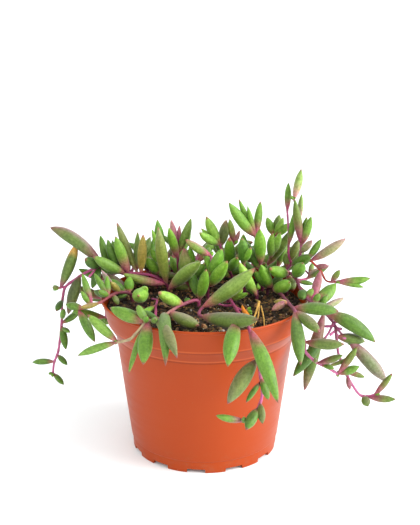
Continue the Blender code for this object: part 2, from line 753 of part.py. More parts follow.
def laid_out(sprays):
    """Bends each leaf clear of the pot, the soil and every other spray, in the sprays' own order."""
    stem_sets = {name: all_stem_balls(stems) for name, stems in sprays.items()}
    leaf_sets = {name: np.empty((0, 4)) for name in sprays}
    options = bend_options()
    result = {}
    for name, stems in sprays.items():
        others = np.concatenate(
            [balls for other, balls in stem_sets.items() if other != name]
            + [balls for other, balls in leaf_sets.items() if other != name]
        )
        result[name] = []
        for index, (route, leaves) in enumerate(stems):
            kept = []
            for station, tip, girth, *own_bow in leaves:
                base = along(route, station + (1 if index == 0 else 0))
                bow = own_bow[0] if own_bow else natural_bow(base, Vector(tip))
                leaf = clear_leaf(base, Vector(tip), girth, bow, others, options)
                if leaf:
                    kept.append(leaf)
                    leaf_sets[name] = np.concatenate([leaf_sets[name], leaf_balls(leaf)])
            result[name].append((route, kept))
    return result


def tube(name, points, radii, collection, plump=True):
    """A closed tube through points, each with its own radius: six sides, or four if it isn't plump."""
    curve = bpy.data.curves.new(name, "CURVE")
    curve.dimensions = "3D"
    curve.bevel_depth = MM
    curve.bevel_resolution = 1 if plump else 0
    curve.use_fill_caps = True
    spline = curve.splines.new("POLY")
    spline.points.add(len(points) - 1)
    for knot, point, radius in zip(spline.points, points, radii):
        knot.co = (*(point * MM), 1.0)
        knot.radius = radius
    obj = bpy.data.objects.new(name, curve)
    collection.objects.link(obj)
    graph = bpy.context.evaluated_depsgraph_get()
    mesh = bpy.data.meshes.new_from_object(obj.evaluated_get(graph))
    bpy.data.objects.remove(obj, do_unlink=True)
    bpy.data.curves.remove(curve)
    shape = bmesh.new()
    shape.from_mesh(mesh)
    bmesh.ops.remove_doubles(shape, verts=shape.verts, dist=0.000001)
    bmesh.ops.recalc_face_normals(shape, faces=shape.faces)
    shape.to_mesh(mesh)
    shape.free()
    return new_object(name, mesh, collection)


def stem_tube(name, route, radius, collection):
    count = len(route)
    radii = [radius * (1 - (1 - STEM_TIP_SHARE) * index / (count - 1)) for index in range(count)]
    return tube(name, route, radii, collection, radius >= STEM_RADIUS)


def leaf_tube(name, leaf, collection):
    base, control, tip, girth = leaf
    shares = LONG_LEAF_SHARES if (tip - base).length > LONG_LEAF else SHORT_LEAF_SHARES
    points = [leaf_point(base, control, tip, share) for share in shares]
    radii = [leaf_radius(girth, share) for share in shares]
    return tube(name, points, radii, collection, girth > PLUMP_LEAF)


def keep_largest_shell(obj):
    """Drops loose scraps, and fills hollows that fusing sealed by dropping their inner skins."""
    shape = bmesh.new()
    shape.from_mesh(obj.data)
    shape.verts.ensure_lookup_table()
    unseen = set(shape.verts)
    shells = []
    while unseen:
        stack = [unseen.pop()]
        shell = set(stack)
        while stack:
            for edge in stack.pop().link_edges:
                for vert in edge.verts:
                    if vert in unseen:
                        unseen.remove(vert)
                        shell.add(vert)
                        stack.append(vert)
        shells.append(shell)
    shells.sort(key=len)
    for shell in shells[:-1]:
        bmesh.ops.delete(shape, geom=list(shell), context="VERTS")
    shape.to_mesh(obj.data)
    shape.free()


def make_spray(name, stems, collection, material):
    """One leafy stem fused into a single solid."""
    pieces = bpy.data.collections.new(name + "_pieces")
    bpy.context.scene.collection.children.link(pieces)
    spray = stem_tube("spray_" + name, stems[0][0], stem_radius(0), collection)
    spray.data.materials.append(material)
    for number, (route, leaves) in enumerate(stems):
        if number:
            stem_tube(f"{name}_twig", route, stem_radius(number), pieces)
        for leaf in leaves:
            leaf_tube(f"{name}_leaf", leaf, pieces)
    fuse = spray.modifiers.new("fuse", "BOOLEAN")
    fuse.operation = "UNION"
    fuse.operand_type = "COLLECTION"
    fuse.collection = pieces
    applied(spray)
    for piece in list(pieces.objects):
        bpy.data.objects.remove(piece, do_unlink=True)
    bpy.data.collections.remove(pieces)
    keep_largest_shell(spray)
    smooth_shaded(spray, 50)
    return spray


def main():
    clear_scene()
    parts = new_collection(OBJECT_NAME, hidden=False)
    cutters = new_collection("cutters", hidden=True)
    terracotta = new_material("terracotta_plastic", (0.56, 0.09, 0.03), 0.42)
    earth = new_material("potting_soil", (0.03, 0.018, 0.012), 0.95)
    foliage = new_material("succulent_foliage", (0.16, 0.33, 0.06), 0.45)
    sprays = laid_out(all_sprays())
    make_pot(parts, cutters, terracotta)
    roots = [(stems[0][0][0].x, stems[0][0][0].y) for stems in sprays.values()]
    make_soil(parts, cutters, earth, roots)
    for name, stems in sprays.items():
        make_spray(name, stems, parts, foliage)


main()
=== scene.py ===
"""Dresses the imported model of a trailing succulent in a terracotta-coloured nursery pot.

The script is laid out as an add-on: each group of pieces has its own operator, and the sizes and
colours that a user would change are properties. Run as a script, it makes the whole scene. The frame
is in metres with the origin on the pot's axis where the pot stands, +X to the viewer's right and +Y
away from the viewer. Sizes and routes are written in millimetres, and properties, reliefs and the stage
in metres.
"""

import itertools
import math
import random

import bmesh
import bpy
import numpy as np
from bpy.props import FloatProperty, FloatVectorProperty, IntProperty, PointerProperty
from mathutils import Euler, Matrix, Quaternion, Vector, noise


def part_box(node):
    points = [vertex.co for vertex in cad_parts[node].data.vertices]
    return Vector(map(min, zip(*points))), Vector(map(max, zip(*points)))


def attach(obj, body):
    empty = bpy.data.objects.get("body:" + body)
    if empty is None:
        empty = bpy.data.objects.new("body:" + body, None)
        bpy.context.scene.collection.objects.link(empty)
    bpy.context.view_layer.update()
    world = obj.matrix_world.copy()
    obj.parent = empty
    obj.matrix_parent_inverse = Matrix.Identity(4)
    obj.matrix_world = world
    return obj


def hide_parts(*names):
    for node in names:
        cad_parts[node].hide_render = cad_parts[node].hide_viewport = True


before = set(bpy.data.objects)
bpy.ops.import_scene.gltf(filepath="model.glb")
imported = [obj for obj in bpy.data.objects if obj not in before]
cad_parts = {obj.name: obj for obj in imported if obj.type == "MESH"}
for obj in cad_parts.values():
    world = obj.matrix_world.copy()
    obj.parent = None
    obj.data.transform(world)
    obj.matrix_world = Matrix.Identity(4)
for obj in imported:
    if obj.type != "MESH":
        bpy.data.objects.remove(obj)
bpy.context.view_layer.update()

bl_info = {
    "name": "Trailing Succulent In A Pot",
    "version": (1, 0, 0),
    "blender": (4, 5, 0),
    "location": "3D View > Sidebar > Succulent",
    "description": "Builds a trailing succulent with spindle leaves in a moulded nursery pot",
    "category": "Add Mesh",
}

MM = 0.001
BODY = "root"
POT_LOW, POT_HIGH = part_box("pot")
POT_HEIGHT = (POT_HIGH.z - POT_LOW.z) / MM
RIM_RADIUS = (POT_HIGH.x - POT_LOW.x) / 2 / MM

# The pot's profile, from its rim down to its foot ring, and its openings.
RIM_LIP = 1.2
RIM_BAND_FOOT_RADIUS = 56.5
RIM_BAND_FOOT_Z = 79.0
BODY_TOP_RADIUS = 52.0
BODY_TOP_Z = 72.0
FOOT_RING_TOP_RADIUS = 43.8
FOOT_RING_TOP_Z = 7.5
FOOT_RING_STEP = 0.5
FOOT_RADIUS = 42.9
FOOT_RING_WALL = 2.0
WALL = 1.2
FLOOR_UNDER_Z = 3.2
FLOOR_TOP_Z = 4.6
NOTCH_COUNT = 12
NOTCH_WIDTH = 10.8
NOTCH_HEIGHT = 2.4
FIRST_NOTCH_DEG = -96.5
DRAIN_HOLE_COUNT = 8
DRAIN_HOLE_RADIUS = 3.0
DRAIN_HOLE_CIRCLE = 29.0
DRAIN_HOLE_SIDES = 32
NOTCH_DRAFT = 0.04
FLOOR_FILLET = 1.0
LIP_ROUND = 0.4
INNER_LEDGE = 0.3
WALL_DRAFT_DEG = 6
# Edges that turn by more than this stay sharp, and points of the turned wall that meet are merged, within
# this many metres.
SHARP_EDGE_DEG = 28
MERGE_DISTANCE = 0.00001
# The corners of the pot's outside, and the points that soften each of them, as distances from it.
OUTER_EDGES = (
    ((RIM_BAND_FOOT_RADIUS, RIM_BAND_FOOT_Z), ((0.25, 1.0), (0.0, 0.3), (-0.35, -0.3))),
    ((BODY_TOP_RADIUS, BODY_TOP_Z), ((0.35, 0.5), (0.05, 0.0), (-0.1, -0.6))),
    ((FOOT_RING_TOP_RADIUS, FOOT_RING_TOP_Z), ((0.1, 0.5), (0.0, 0.1), (-FOOT_RING_STEP, -FOOT_RING_STEP))),
    ((FOOT_RADIUS, 0.0), ((0.0, 0.25), (-0.25, 0.0))),
)
# Splashes of soil reach this high, and streaks are this many times as long as they are high. Soft lines
# of painted shade and painted highlight run round the step, each with its height, half its width, its
# strength and its colour.
SPLASH_HEIGHT = 16.0
POT_STREAK_STRETCH = 14.0
POT_LINES = (
    ((RIM_BAND_FOOT_Z + BODY_TOP_Z) / 2, 5.0, 0.16, "painted_step_shade"),
    (BODY_TOP_Z + 0.5, 0.65, 0.55, "painted_step_highlight"),
    (BODY_TOP_Z - 0.6, 0.65, 0.5, "painted_step_shade"),
    (RIM_BAND_FOOT_Z + 0.9, 0.65, 0.5, "painted_step_highlight"),
    (RIM_BAND_FOOT_Z - 0.3, 0.65, 0.45, "painted_step_shade"),
)

# The soil's level and the waves of its top.
SOIL_TOP_Z = 86.5
SOIL_BUMP = 0.9
SOIL_WAVE_X = 6.1
SOIL_WAVE_Y = 7.3
SOIL_WAVE_PHASE = 0.8
SOIL_LONG_WAVE_X = 13.0
SOIL_LONG_WAVE_Y = 9.0
SOIL_LONG_WAVE_SHARE = 0.6
STEM_HOLE_DEPTH = 8.0
PIECE_GAP = 0.3

# Stems, and a leaf's outline along its length.
STEM_RADIUS = 1.0
TWIG_RADIUS = 0.8
STEM_TIP_SHARE = 0.75
LEAF_ROOT_RADIUS = 0.75
LEAF_ROOT_SHARE = 0.3
LEAF_FULLEST = 1.12
LEAF_PLUMPNESS = 0.58
LEAF_CURL = 0.03

# How far leaves stay clear of all else, the ways in which one may be bent for that, and what each costs.
# The pot's wall counts as this share of its thickness on either side of its middle.
CLEARANCE = 0.55
WALL_SHARE = 0.6
LEAF_SAMPLES = 12
STEM_SAMPLE_STEP = 1.2
SWING_DIRECTION = Vector((0.0, 0.952, -0.306))
SWINGS = (0, 2, -2, 4, -4, 6, -6, 8, -8, 11, -11, 14, -14, 18, -18)
LIFTS = (0, 2, 4, 7, 10)
ARCHES = (0, 1.5, 3, 5, 7)
SHRINKS = (1.0, 0.85, 0.7)
SHRINK_COST = 60.0
ARCH_COST = 2.0
LIFT_COST = 1.5

# A spray is a list of stems, and a stem is its route and its leaves. A leaf is its station along the
# route, the place of its tip, its girth, its tone and, for some, how far its middle is bowed up.
SPRAYS = {
    "left_trailing": [
        ([
            (-22, 21, 91), (-30, 19, 98), (-38, 18, 100), (-47, 17, 101), (-55, 17, 103), (-62, 17, 105),
            (-69, 17, 102), (-74, 17, 99), (-83, 18, 92), (-85, 19, 86), (-86, 20, 79), (-87, 21, 66),
            (-90, 23, 48), (-93, 24, 40), (-94, 24, 33),
        ], [
            (-0.2, (-2, -14, 117.7), 7.4, "sage", 1), (0.2, (-48, 10, 102.5), 5.4, "blush"),
            (2, (-36, 16, 125), 5.3, "bronze"), (2.2, (-52, 24, 130), 5.3, "olive"),
            (2.3, (-40, 28, 123), 4.2, "sage"), (2.8, (-52, 12, 125), 7, "rosy"),
            (3, (-65, 8, 114), 7.2, "lime"), (3.4, (-55, 24, 119), 4.2, "dark"),
            (3.6, (-57, 16, 122), 5.9, "dark"), (4.3, (-62, 24, 122), 4.8, "mid"),
            (4.7, (-91, 20, 128), 8.3, "dusky", 4), (5, (-70, 10, 112), 7, "dark"),
            (7, (-81, 8, 78), 7.1, "shade", 2), (9.5, (-88, 8, 80), 4.1, "dark"),
            (10.7, (-84, 12, 80), 3.6, "fresh"), (10.9, (-75, 20, 76), 4.2, "mid"),
            (11, (-84, 14, 53), 4.8, "mid"), (11.1, (-81, 14, 64), 3, "mid"),
            (12.3, (-84, 18, 41), 3.7, "mid"), (12.9, (-107, 27, 39), 4.3, "mid"),
            (14, (-87, 20, 27), 3.7, "mid"), (0.15, (-27, 14, 130), 6.8, "olive"),
            (5, (-66, 6, 95), 5, "dark"),
        ]),
        ([(-83, 18, 92), (-87, 18, 91)], [
            (0.8, (-75.5, 20, 119), 7.2, "dry_tip"), (1, (-91, 17, 92), 2.4, "olive"),
        ]),
        ([(-62, 17, 105), (-65, 13, 103.5), (-68, 9, 101)], []),
    ],
    "left_rim": [
        ([
            (-43, 5, 91), (-49, -1, 95), (-54, -12, 96.5), (-58, -20, 96), (-63, -23, 95), (-67, -25, 94.5),
            (-71, -25, 93),
        ], [
            (0.3, (-44, 10, 101), 5.4, "mid"), (0.5, (-55, 2, 102), 5.8, "dark"),
            (1, (-54, -8, 104), 4, "bronze"), (1.3, (-60, 4, 107), 3.5, "lilac"),
            (2, (-60, -18, 102), 4, "fresh"), (2.1, (-63, -8, 109), 4, "fresh"),
            (2.2, (-56, -6, 107), 3.4, "fresh"), (3.2, (-69, -32, 97), 3.3, "bronze"),
            (4, (-69, -16, 112), 3.9, "rosy"), (4.2, (-69, -24, 104), 3.4, "fresh"),
            (5.2, (-78, -24, 96), 4.8, "mid"), (6, (-61, -36, 78), 5.6, "mid"),
            (1.9, (-64, -4, 97), 4.6, "dark"), (0.3, (-51, 0, 91), 3, "dark"),
            (1.7, (-49, -14, 92), 3.2, "sage"), (0.2, (-58, 14, 101.5), 7, "shade"),
        ]),
        ([(-43, 5, 91), (-40, 2, 93.5), (-36, 0, 95)], [
            (2, (-37, -24, 101), 8.6, "fresh"), (1.4, (-33, -16, 103), 5, "fresh"),
        ]),
    ],
    "front_left": [
        ([
            (-4, -2, 90), (-13, -10, 90.5), (-18, -20, 91), (-25, -44, 94.5), (-31, -52, 96), (-36, -57, 92),
            (-40, -57, 88), (-47, -51, 84),
        ], [
            (0.9, (-26, -18, 101), 6.8, "lime"), (2.2, (-3, -52, 92), 7.2, "sage"),
            (2.6, (-20, -78, 80), 6.9, "mid"), (3, (-33, -34, 96), 2.8, "dark"),
            (3.3, (-14, -80, 87), 6.3, "olive"), (3.5, (-26, -58, 100), 3.7, "lime"),
            (3.9, (-32, -72, 80), 8, "fresh"), (3.9, (-51, -46, 102), 7.6, "fresh"),
            (4, (-36, -50, 105), 4.8, "lime"), (4.1, (-31, -56, 101), 3.2, "fresh"),
            (4.3, (-40, -70, 74), 3.2, "lime"), (7, (-63, -49, 99), 5.9, "lime", 0),
            (7, (-69, -51, 76), 4.9, "lime"), (0.5, (-11, 0, 90.6), 3.4, "dark"),
        ]),
        ([
            (-27, -47, 95), (-27, -38, 93.3), (-27.5, -24, 91), (-28, -8, 89.4), (-28, 3, 88.8),
            (-31, 5, 88.8),
        ], [
            (3, (-35, -26, 90), 3.2, "fresh"),
        ]),
    ],
    "front_middle": [
        ([(3, -6, 90), (-1, -14, 90.5), (-3, -25, 91.5), (-2, -35, 93), (7, -46, 95), (17, -55, 97)], [
            (1, (28, -18, 115), 8.5, "sage"), (3, (28, -66, 101), 9.4, "sage"),
            (5, (12, -80, 82), 8.6, "fresh"),
        ]),
    ],
    "front_right": [
        ([
            (14, 3, 90), (16, -6, 90.3), (19, -22, 90.5), (22, -40, 91.5), (23, -56, 95.5), (25, -63, 92),
            (26, -65, 88), (28, -65, 80), (30, -65, 69), (31, -64, 59), (29, -64, 51), (26, -66, 47),
            (22, -68, 45.5),
        ], [
            (4.3, (38, -85, 64), 8, "fresh", 3), (7, (12, -82, 62), 8.4, "olive"),
            (7, (14, -70, 66), 5.3, "olive"), (8, (34, -71, 59), 4.3, "mid"),
            (8.2, (22, -74, 59), 3.2, "mid"), (9.6, (31, -71, 45), 4.3, "olive"),
            (10, (22, -76, 44), 5.9, "mid"), (12, (6, -73, 51), 4.3, "rosy"),
            (12, (20, -73, 49), 2.4, "mid"), (-0.1, (22, -6, 99), 4.4, "lime"),
            (-0.1, (25, -8, 97), 3.4, "fresh"),
        ]),
        ([(16.6, -10, 90.3), (12, -8, 89.2), (7.5, -4, 89)], []),
        ([(16.6, -10, 90.3), (20, -14, 89.2), (24.5, -15.5, 89)], []),
    ],
    "right_hanging": [
        ([
            (38, 18, 91), (41, 12, 92), (45, 0, 93), (48, -22, 95), (50, -36, 96), (53, -43, 89),
            (55, -43, 81), (56, -41, 74), (62, -38, 67), (68, -36, 63), (75, -34, 58),
        ], [
            (0.6, (33, 8, 109), 6.2, "mid"), (1, (49.5, -0.5, 101), 8.2, "fresh"),
            (3.6, (74, -34, 95.5), 7.6, "mid"), (3.9, (51, -66, 77), 7.5, "mid"),
            (4, (62, -52, 90), 6.5, "sage"), (6, (76, -49, 82), 6.6, "sage"),
            (8, (61, -45, 72), 2.4, "olive"), (8.2, (76, -45, 74), 4.4, "blush"),
            (8.6, (72, -41, 64), 3.3, "mid"), (9, (86, -30, 68), 2.8, "olive"),
            (10, (85, -37, 76), 4.5, "blush"), (10, (87, -35, 63), 5.1, "fresh"),
            (2.7, (38, -22, 91.5), 4, "withered"), (2.9, (40, -8, 91.5), 3.6, "bronze"),
            (0.3, (47, 25, 98), 5, "dark"), (0.3, (29.5, 10, 104.5), 5.4, "dark"),
        ]),
    ],
    "right_trailing": [
        ([
            (49, 14, 91), (48.5, 16, 97), (50.5, 13, 102), (54, 7, 100), (56, -5, 97), (59, -16, 96),
            (66.5, -18, 90.5), (74, -14, 81), (75, -20, 77), (76, -26, 67), (79, -28, 60), (81, -30, 55),
            (84, -32, 50), (88, -34, 45), (92, -35, 44.5), (96, -36, 46),
        ], [
            (1.8, (38, 8, 106.5), 7, "mid"), (1.5, (52.5, 3, 94.5), 6, "sage"),
            (2.6, (57, 2, 112), 7.4, "mid"), (3.2, (64, 6, 97.5), 3.2, "mid"),
            (4, (56, -17, 96.8), 5.5, "dark"), (5.3, (67, 0, 108), 5.3, "plum"),
            (5.9, (80, -10, 95), 4, "mauve"), (5.5, (76, -4, 101.5), 7.8, "fresh"),
            (4.9, (62, -10, 100.5), 4.6, "lime"), (6.3, (97, -24, 73), 8.6, "mid", 3),
            (8.2, (92, -18, 71), 7, "sage"), (10.6, (91, -30, 54), 3.4, "blush"),
            (11, (82, -36, 49), 3, "plum"), (13.5, (92, -40, 40.5), 5.1, "sage"),
            (14, (107, -42, 46), 4.5, "blush"), (15, (105, -38, 60), 3.9, "blush"),
            (6.2, (57, -30, 46), 7.6, "drape"), (5.4, (64.5, -20, 101), 4.4, "rosy"),
            (5.8, (69.5, -17, 99), 4.2, "fresh"),
        ]),
        ([(74, -14, 81), (71, -19, 77), (67, -23, 73)], [
            (1.5, (50, -30, 55), 6.8, "dark"),
        ]),
        ([(74, -14, 81), (78, -17, 76), (82, -20, 73)], [
            (2, (105, -24, 48), 8.6, "lilac", 1),
        ]),
        ([(54, 7, 100), (60, 14, 98), (63, 20, 98), (60, 25, 100.5)], [
            (1.2, (69, 20, 103), 4.2, "mauve"), (2, (65, 25, 105), 3.4, "pale"),
            (1, (74, 16, 106), 3.4, "sage"),
        ]),
    ],
    "right_crown": [
        ([(44, 26, 91), (47, 24, 98), (52, 21, 105), (56, 16, 111), (57, 14, 119)], [
            (2, (62, 4, 116), 7, "mid"), (3.4, (62, 4, 125), 4.6, "mauve"),
            (3.9, (60, 18, 135), 4.7, "rosy"), (4, (62, 12, 137), 5.4, "rosy"),
            (4, (52, 10, 148), 5.2, "blush"), (1.6, (49, 26, 110.5), 4.8, "sage"),
        ]),
        ([(52, 21, 105), (50, 20, 112), (50, 20, 121), (48.7, 20.5, 138)], [
            (3, (49, 21, 155), 4, "rosy"), (1.6, (53, 16, 140), 4.1, "fresh"),
            (0.4, (56, 22, 120), 5.2, "olive"),
        ]),
        ([(57, 14, 119), (55.5, 18, 132), (52.2, 17, 146)], [
            (2, (56, 18, 164), 5.2, "pale"), (1, (57, 22, 148), 3.5, "pale"),
        ]),
        ([(56, 16, 111), (62, 9, 111), (65, 6, 109), (68, 4, 106), (71, 2, 101), (76, 0, 101)], [
            (0.7, (68, 10, 124), 4.7, "fresh"), (1, (82, 8, 125), 5.8, "mauve"),
            (2, (72, 2, 110), 3.5, "plum"), (4.5, (78, -2, 109), 4, "blush"),
            (5, (96, -2, 104), 5.4, "rosy"), (5, (92, -4, 99), 3.4, "rosy"),
        ]),
    ],
    "centre_right": [
        ([(35, 25, 91), (34, 20, 102), (32, 18, 114), (30, 18, 123)], [
            (1.3, (32, 8, 131), 6.8, "fresh"), (1, (22.5, 24, 120), 6.2, "dark"),
            (3, (33, 24, 143), 4.9, "rosy"), (3, (14, 10, 146), 7, "fresh"), (3, (20, 18, 146), 4.1, "rosy"),
            (3, (25, 14, 143), 3.5, "rosy"),
        ]),
    ],
    "far_right": [
        ([(34, 37, 91), (38, 34, 100), (42, 31, 111), (42, 30, 120)], [
            (1, (52.5, 28, 124.6), 6.2, "sage"), (1.5, (39.5, 10, 127.6), 5.5, "lime"),
            (1.7, (44, 8, 128.6), 4.6, "lime"), (3, (37.5, 32, 131), 5.4, "fresh"),
            (3, (45, 34, 132), 5.4, "sage"), (3, (47, 28, 132), 4.6, "lime"),
            (3, (51, 26, 129), 5.2, "fresh"), (0, (22, 42, 102), 5, "dark"), (0.1, (45, 37, 102), 5, "mid"),
            (0.3, (36, 24, 105), 5, "dark"),
        ]),
    ],
    "centre_left": [
        ([(17, 32, 91), (15, 29, 99), (13, 26, 106), (9, 22, 117)], [
            (1, (19, 6, 114), 5.6, "mid"), (0.75, (14.5, 13.5, 124), 6.8, "mid"),
            (2.8, (13, 30, 130), 6, "shade"), (3, (1, 16, 136), 6.4, "lime"),
            (3, (-2, 22, 127), 3.6, "lime"), (3, (-3, 10, 128), 5.2, "lime"), (0.25, (6, 31, 103), 5, "mid"),
        ]),
        ([(13, 26, 106), (15, 27, 111), (18, 28, 115.5)], [
            (2, (15, 28, 131), 4.4, "blush"), (2, (21, 28, 124), 2.6, "plum"),
        ]),
    ],
    "centre": [
        ([(24, 16, 91), (24, 14, 99), (23, 13, 109)], [
            (1.7, (22, 8, 125), 6, "dark"), (2, (23, 20, 124), 5.3, "dark"), (2, (27, 6, 120), 4, "mid"),
        ]),
    ],
    "middle_left": [
        ([(2, 11, 91), (2, 9, 97), (4, 8, 104), (4, 12, 113)], [
            (0.6, (13, -4, 115), 6.9, "fresh"), (1.5, (10, 4, 120), 6.9, "mid"),
            (1.8, (1, 12, 115), 2.9, "mid"), (3, (-11, 12, 123), 5.3, "dusky"),
        ]),
    ],
    "left_middle": [
        ([(-8, 22, 91), (-7, 20, 97), (-6, 18, 106)], [
            (-0.1, (-12, 15, 117), 8.8, "dusky"), (0.6, (0, 14, 108), 5, "dark"),
            (2, (-9, 14, 118), 3.5, "mid"), (0, (-20, 10, 93.5), 5, "shade"),
        ]),
    ],
    "far_left": [
        ([(-14, 34, 91), (-16, 30, 101), (-16, 28, 112)], [
            (0.5, (-10, 26, 112), 6, "sage"), (1.4, (-21, 20, 128), 5.3, "rosy"),
            (2, (-20, 30, 130), 4.2, "plum"), (2, (-15, 32, 126), 3, "plum"),
            (1.7, (-8, 26, 132), 5.6, "sage"), (0.2, (-34, 31, 98), 5, "shade"),
            (0.1, (-3, 36, 103), 5, "dark"), (0.3, (-21, 37, 105), 5, "mid"),
        ]),
    ],
    "low_middle": [
        ([(-3, 4, 89.5), (-3.5, 4.5, 92.5)], [
            (-0.1, (1, -4, 110), 6.2, "mid"), (0, (-9, 9, 106), 5.4, "dark"),
        ]),
    ],
    "low_right": [
        ([(31, 9, 90), (31, 9.5, 93)], [
            (-0.1, (20, 0, 113), 5.8, "lime"), (0, (24, 5, 99), 4.4, "dark"),
        ]),
    ],
    "far_middle": [
        ([(2, 38, 90), (2, 37, 95), (1, 36, 100)], [
            (0.3, (-12, 40, 101), 5, "dark"), (0.5, (15, 42, 102), 5, "mid"), (1.2, (4, 24, 104), 5, "dark"),
            (2, (3, 46, 108), 5, "mid"),
        ]),
    ],
    "far_corner": [
        ([(-26, 40, 90), (-26, 39, 95)], [
            (0.5, (-43, 35, 97.5), 5.4, "shade"), (1, (-15, 44, 102), 5, "dark"),
        ]),
    ],
    "left_upright": [
        ([(-29, 30, 91), (-26, 25, 100), (-25, 22, 108)], [
            (0.5, (-21, 22, 104), 6, "olive"), (0.7, (-35, 22, 109), 6, "mid"),
            (1.5, (-32, 20, 115), 4.7, "mid"), (2, (-28, 24, 132), 5.9, "mid"),
            (2, (-31, 20, 127), 3.5, "fresh"),
        ]),
    ],
}

# The far side's sprays come up by the rim, bend over it and hang outside the pot.
BACK_SEED = 11
BACK_HEADINGS_DEG = (39, 57, 76, 95, 114, 133, 152)
BACK_ROUTE = ((50.0, 94.0), (57.0, 97.5), (64.0, 95.0), (69.0, 86.0), (71.0, 75.0), (72.0, 64.0))
BACK_DROP_SPREAD = 0.25
BACK_SWAY = 5.0
BACK_LEAF_COUNT = 8
BACK_LEAF_LENGTH = (17.0, 30.0)
BACK_LEAF_GIRTH = (4.6, 7.0)
BACK_FIRST_LEAF = 0.4
BACK_RIM_STATION = 2
BACK_RISE_OVER_RIM = (0.15, 0.75)
BACK_RISE_HANGING = (-0.5, 0.6)
BACK_OUTWARD = (0.2, 0.7)
BACK_ASIDE = (0.35, 0.9)
BACK_REACH_Y = 81.0
BACK_TONES = ("fresh", "mid", "sage", "rosy", "mid", "blush", "olive", "fresh")
# Each of them also has a leaf that lies along the inside of the rim.
RIM_LEAF_WAY = (-0.3, 0.9, -0.12)
RIM_LEAF_LENGTH = 17.0
RIM_LEAF_GIRTH = 5.2
RIM_LEAF_TONE = "dark"

# A leaf tone is its colour along the middle, the flush at its root, how far that flush reaches along
# the leaf, the colour near its tip, and how mauve its sunny side is.
LEAF_TONES = {
    "fresh": ("fresh_green", "rose_flush", 0.46, "fresh_green", 0.0),
    "lime": ("lime_green", "rose_flush", 0.36, "lime_green", 0.0),
    "mid": ("mid_green", "rose_flush", 0.34, "mid_green", 0.12),
    "dark": ("dark_green", "brown_flush", 0.25, "mid_green", 0.0),
    "shade": ("shade_green", "brown_flush", 0.2, "brown_flush", 0.4),
    "olive": ("olive_green", "brown_flush", 0.25, "grey_green", 0.2),
    "sage": ("sage_green", "rose_flush", 0.36, "sage_green", 0.3),
    "dusky": ("sage_green", "magenta_flush", 0.4, "brown_flush", 0.9),
    "bronze": ("bronze", "rose_flush", 0.25, "bronze", 0.2),
    "rosy": ("fresh_green", "magenta_flush", 0.62, "fresh_green", 0.0),
    "blush": ("olive_green", "magenta_flush", 0.68, "mid_green", 0.2),
    "plum": ("plum", "magenta_flush", 0.5, "plum", 0.0),
    "mauve": ("dusty_green", "magenta_flush", 0.45, "sun_flush", 0.9),
    "lilac": ("grey_green", "plum", 0.5, "sun_flush", 1.0),
    "withered": ("brown_flush", "plum_stem", 0.6, "brown_flush", 0.1),
    "drape": ("mid_green", "plum", 0.66, "plum", 0.4),
    "pale": ("pale_green", "pink_flush", 0.65, "lime_green", 0.3),
    "dry_tip": ("sage_green", "magenta_flush", 0.3, "dry_straw", 0.2),
}

# A stem tone is its colour where it starts, its colour where it ends and the share of its way at which
# it has that colour. Those not named here are magenta.
STEM_TONES = {
    ("front_left", 0): ("magenta_stem", "cream_stem", 0.62),
    ("left_rim", 0): ("plum_stem", "coral_stem", 0.85),
    ("right_crown", 3): ("coral_stem", "coral_stem", 1.0),
    ("right_hanging", 0): ("plum_stem", "pink_stem", 1.0),
    ("right_trailing", 0): ("plum_stem", "pink_stem", 1.0),
    ("right_trailing", 1): ("pink_stem", "pink_stem", 1.0),
    ("right_trailing", 2): ("pink_stem", "pink_stem", 1.0),
    ("right_crown", 0): ("plum_stem", "pink_stem", 1.0),
    ("front_middle", 0): ("plum_stem", "magenta_stem", 1.0),
}
DEFAULT_STEM_TONE = ("magenta_stem", "pink_stem", 1.0)

# The sun reaches leaves from here, and a leaf end of this colour is withered.
SUN_WAY = Vector((0.1, 0.45, 0.88))
WITHERED = "dry_straw"
# How a leaf's colours come in along it: where each starts, how long it takes and how strong it gets.
FLUSH_SOFTNESS = 0.75
FLUSH_STRENGTH = 0.92
SUN_POWER = 1.2
END_START = 0.62
END_RUN = 0.38
END_POWER = 1.3
END_STRENGTH = 0.75
WITHERED_START = 0.7
WITHERED_RUN = 0.08
WITHERED_STRENGTH = 0.95
# The thin sides of a leaf are paler by painted light, as if light shone through them, by up to this share.
PAINTED_EDGE_GLOW = 0.16
CHANNEL_SHADE = 0.16
POINT_RED = 0.85
POINT_RED_START = 0.955
POINT_RED_RUN = 0.035

# The fine soil: its rings and facets, its roughness, where its waves fade out and the bank at the wall.
SOIL_RINGS = 96
SOIL_SIDES = 200
SOIL_ROUGH = 0.75
SOIL_ROUGH_SCALE = 0.16
SOIL_FRACTAL = (0.9, 2.1, 5)
SOIL_WAVE_END = 58
SOIL_WAVE_FADE = 6
SOIL_BANK = 0.8
SOIL_BANK_START = 48
SOIL_BANK_RUN = 10

# Crumbs, chips, grains and fibres, where a pair is the least and the largest of a measure.
CRUMB_SEED = 3
FIBRE_SEED = 7
CRUMB_EDGE = 56.0
LITTER_EDGE = 55.0
FIBRE_SPREAD = 53.0
FIBRE_EDGE = 55.0
LUMP_CORNERS = (0.42, 0.66)
LUMP_MIDDLES = (0.75, 1.1)
LUMP_SHADES = (0.7, 1.25)
SIZE_SPREAD = (0.7, 1.3)
CRUMB_SHARE = (0.3, 1.0)
CRUMB_SIZE_POWER = 1.5
CRUMB_LIFT = 0.25
BRIGHT_BARK = 1.6
BARK_RARITY = 4
CHIP_LENGTH = (1.2, 3.2)
CHIP_WIDTH = (0.35, 0.7)
CHIP_HEIGHT = (0.15, 0.3)
CHIP_LIGHT = (0.7, 1.9)
CHIP_LIFT = 0.5
CHIP_TILT = 0.5
PALE_CHIP_TILT = 0.4
PALE_CHIP_LIFT = 0.3
PALE_CHIP_SHARES = (1.0, 0.6, 0.4)
GRAIN_SIZE = (0.3, 0.75)
GRAIN_LIGHT = (0.6, 1.0)
GRAIN_FLATNESS = 0.8
GRAIN_LIFT = 0.4
FIBRE_LENGTH = (2.5, 9.0)
FIBRE_BEND = 1.2
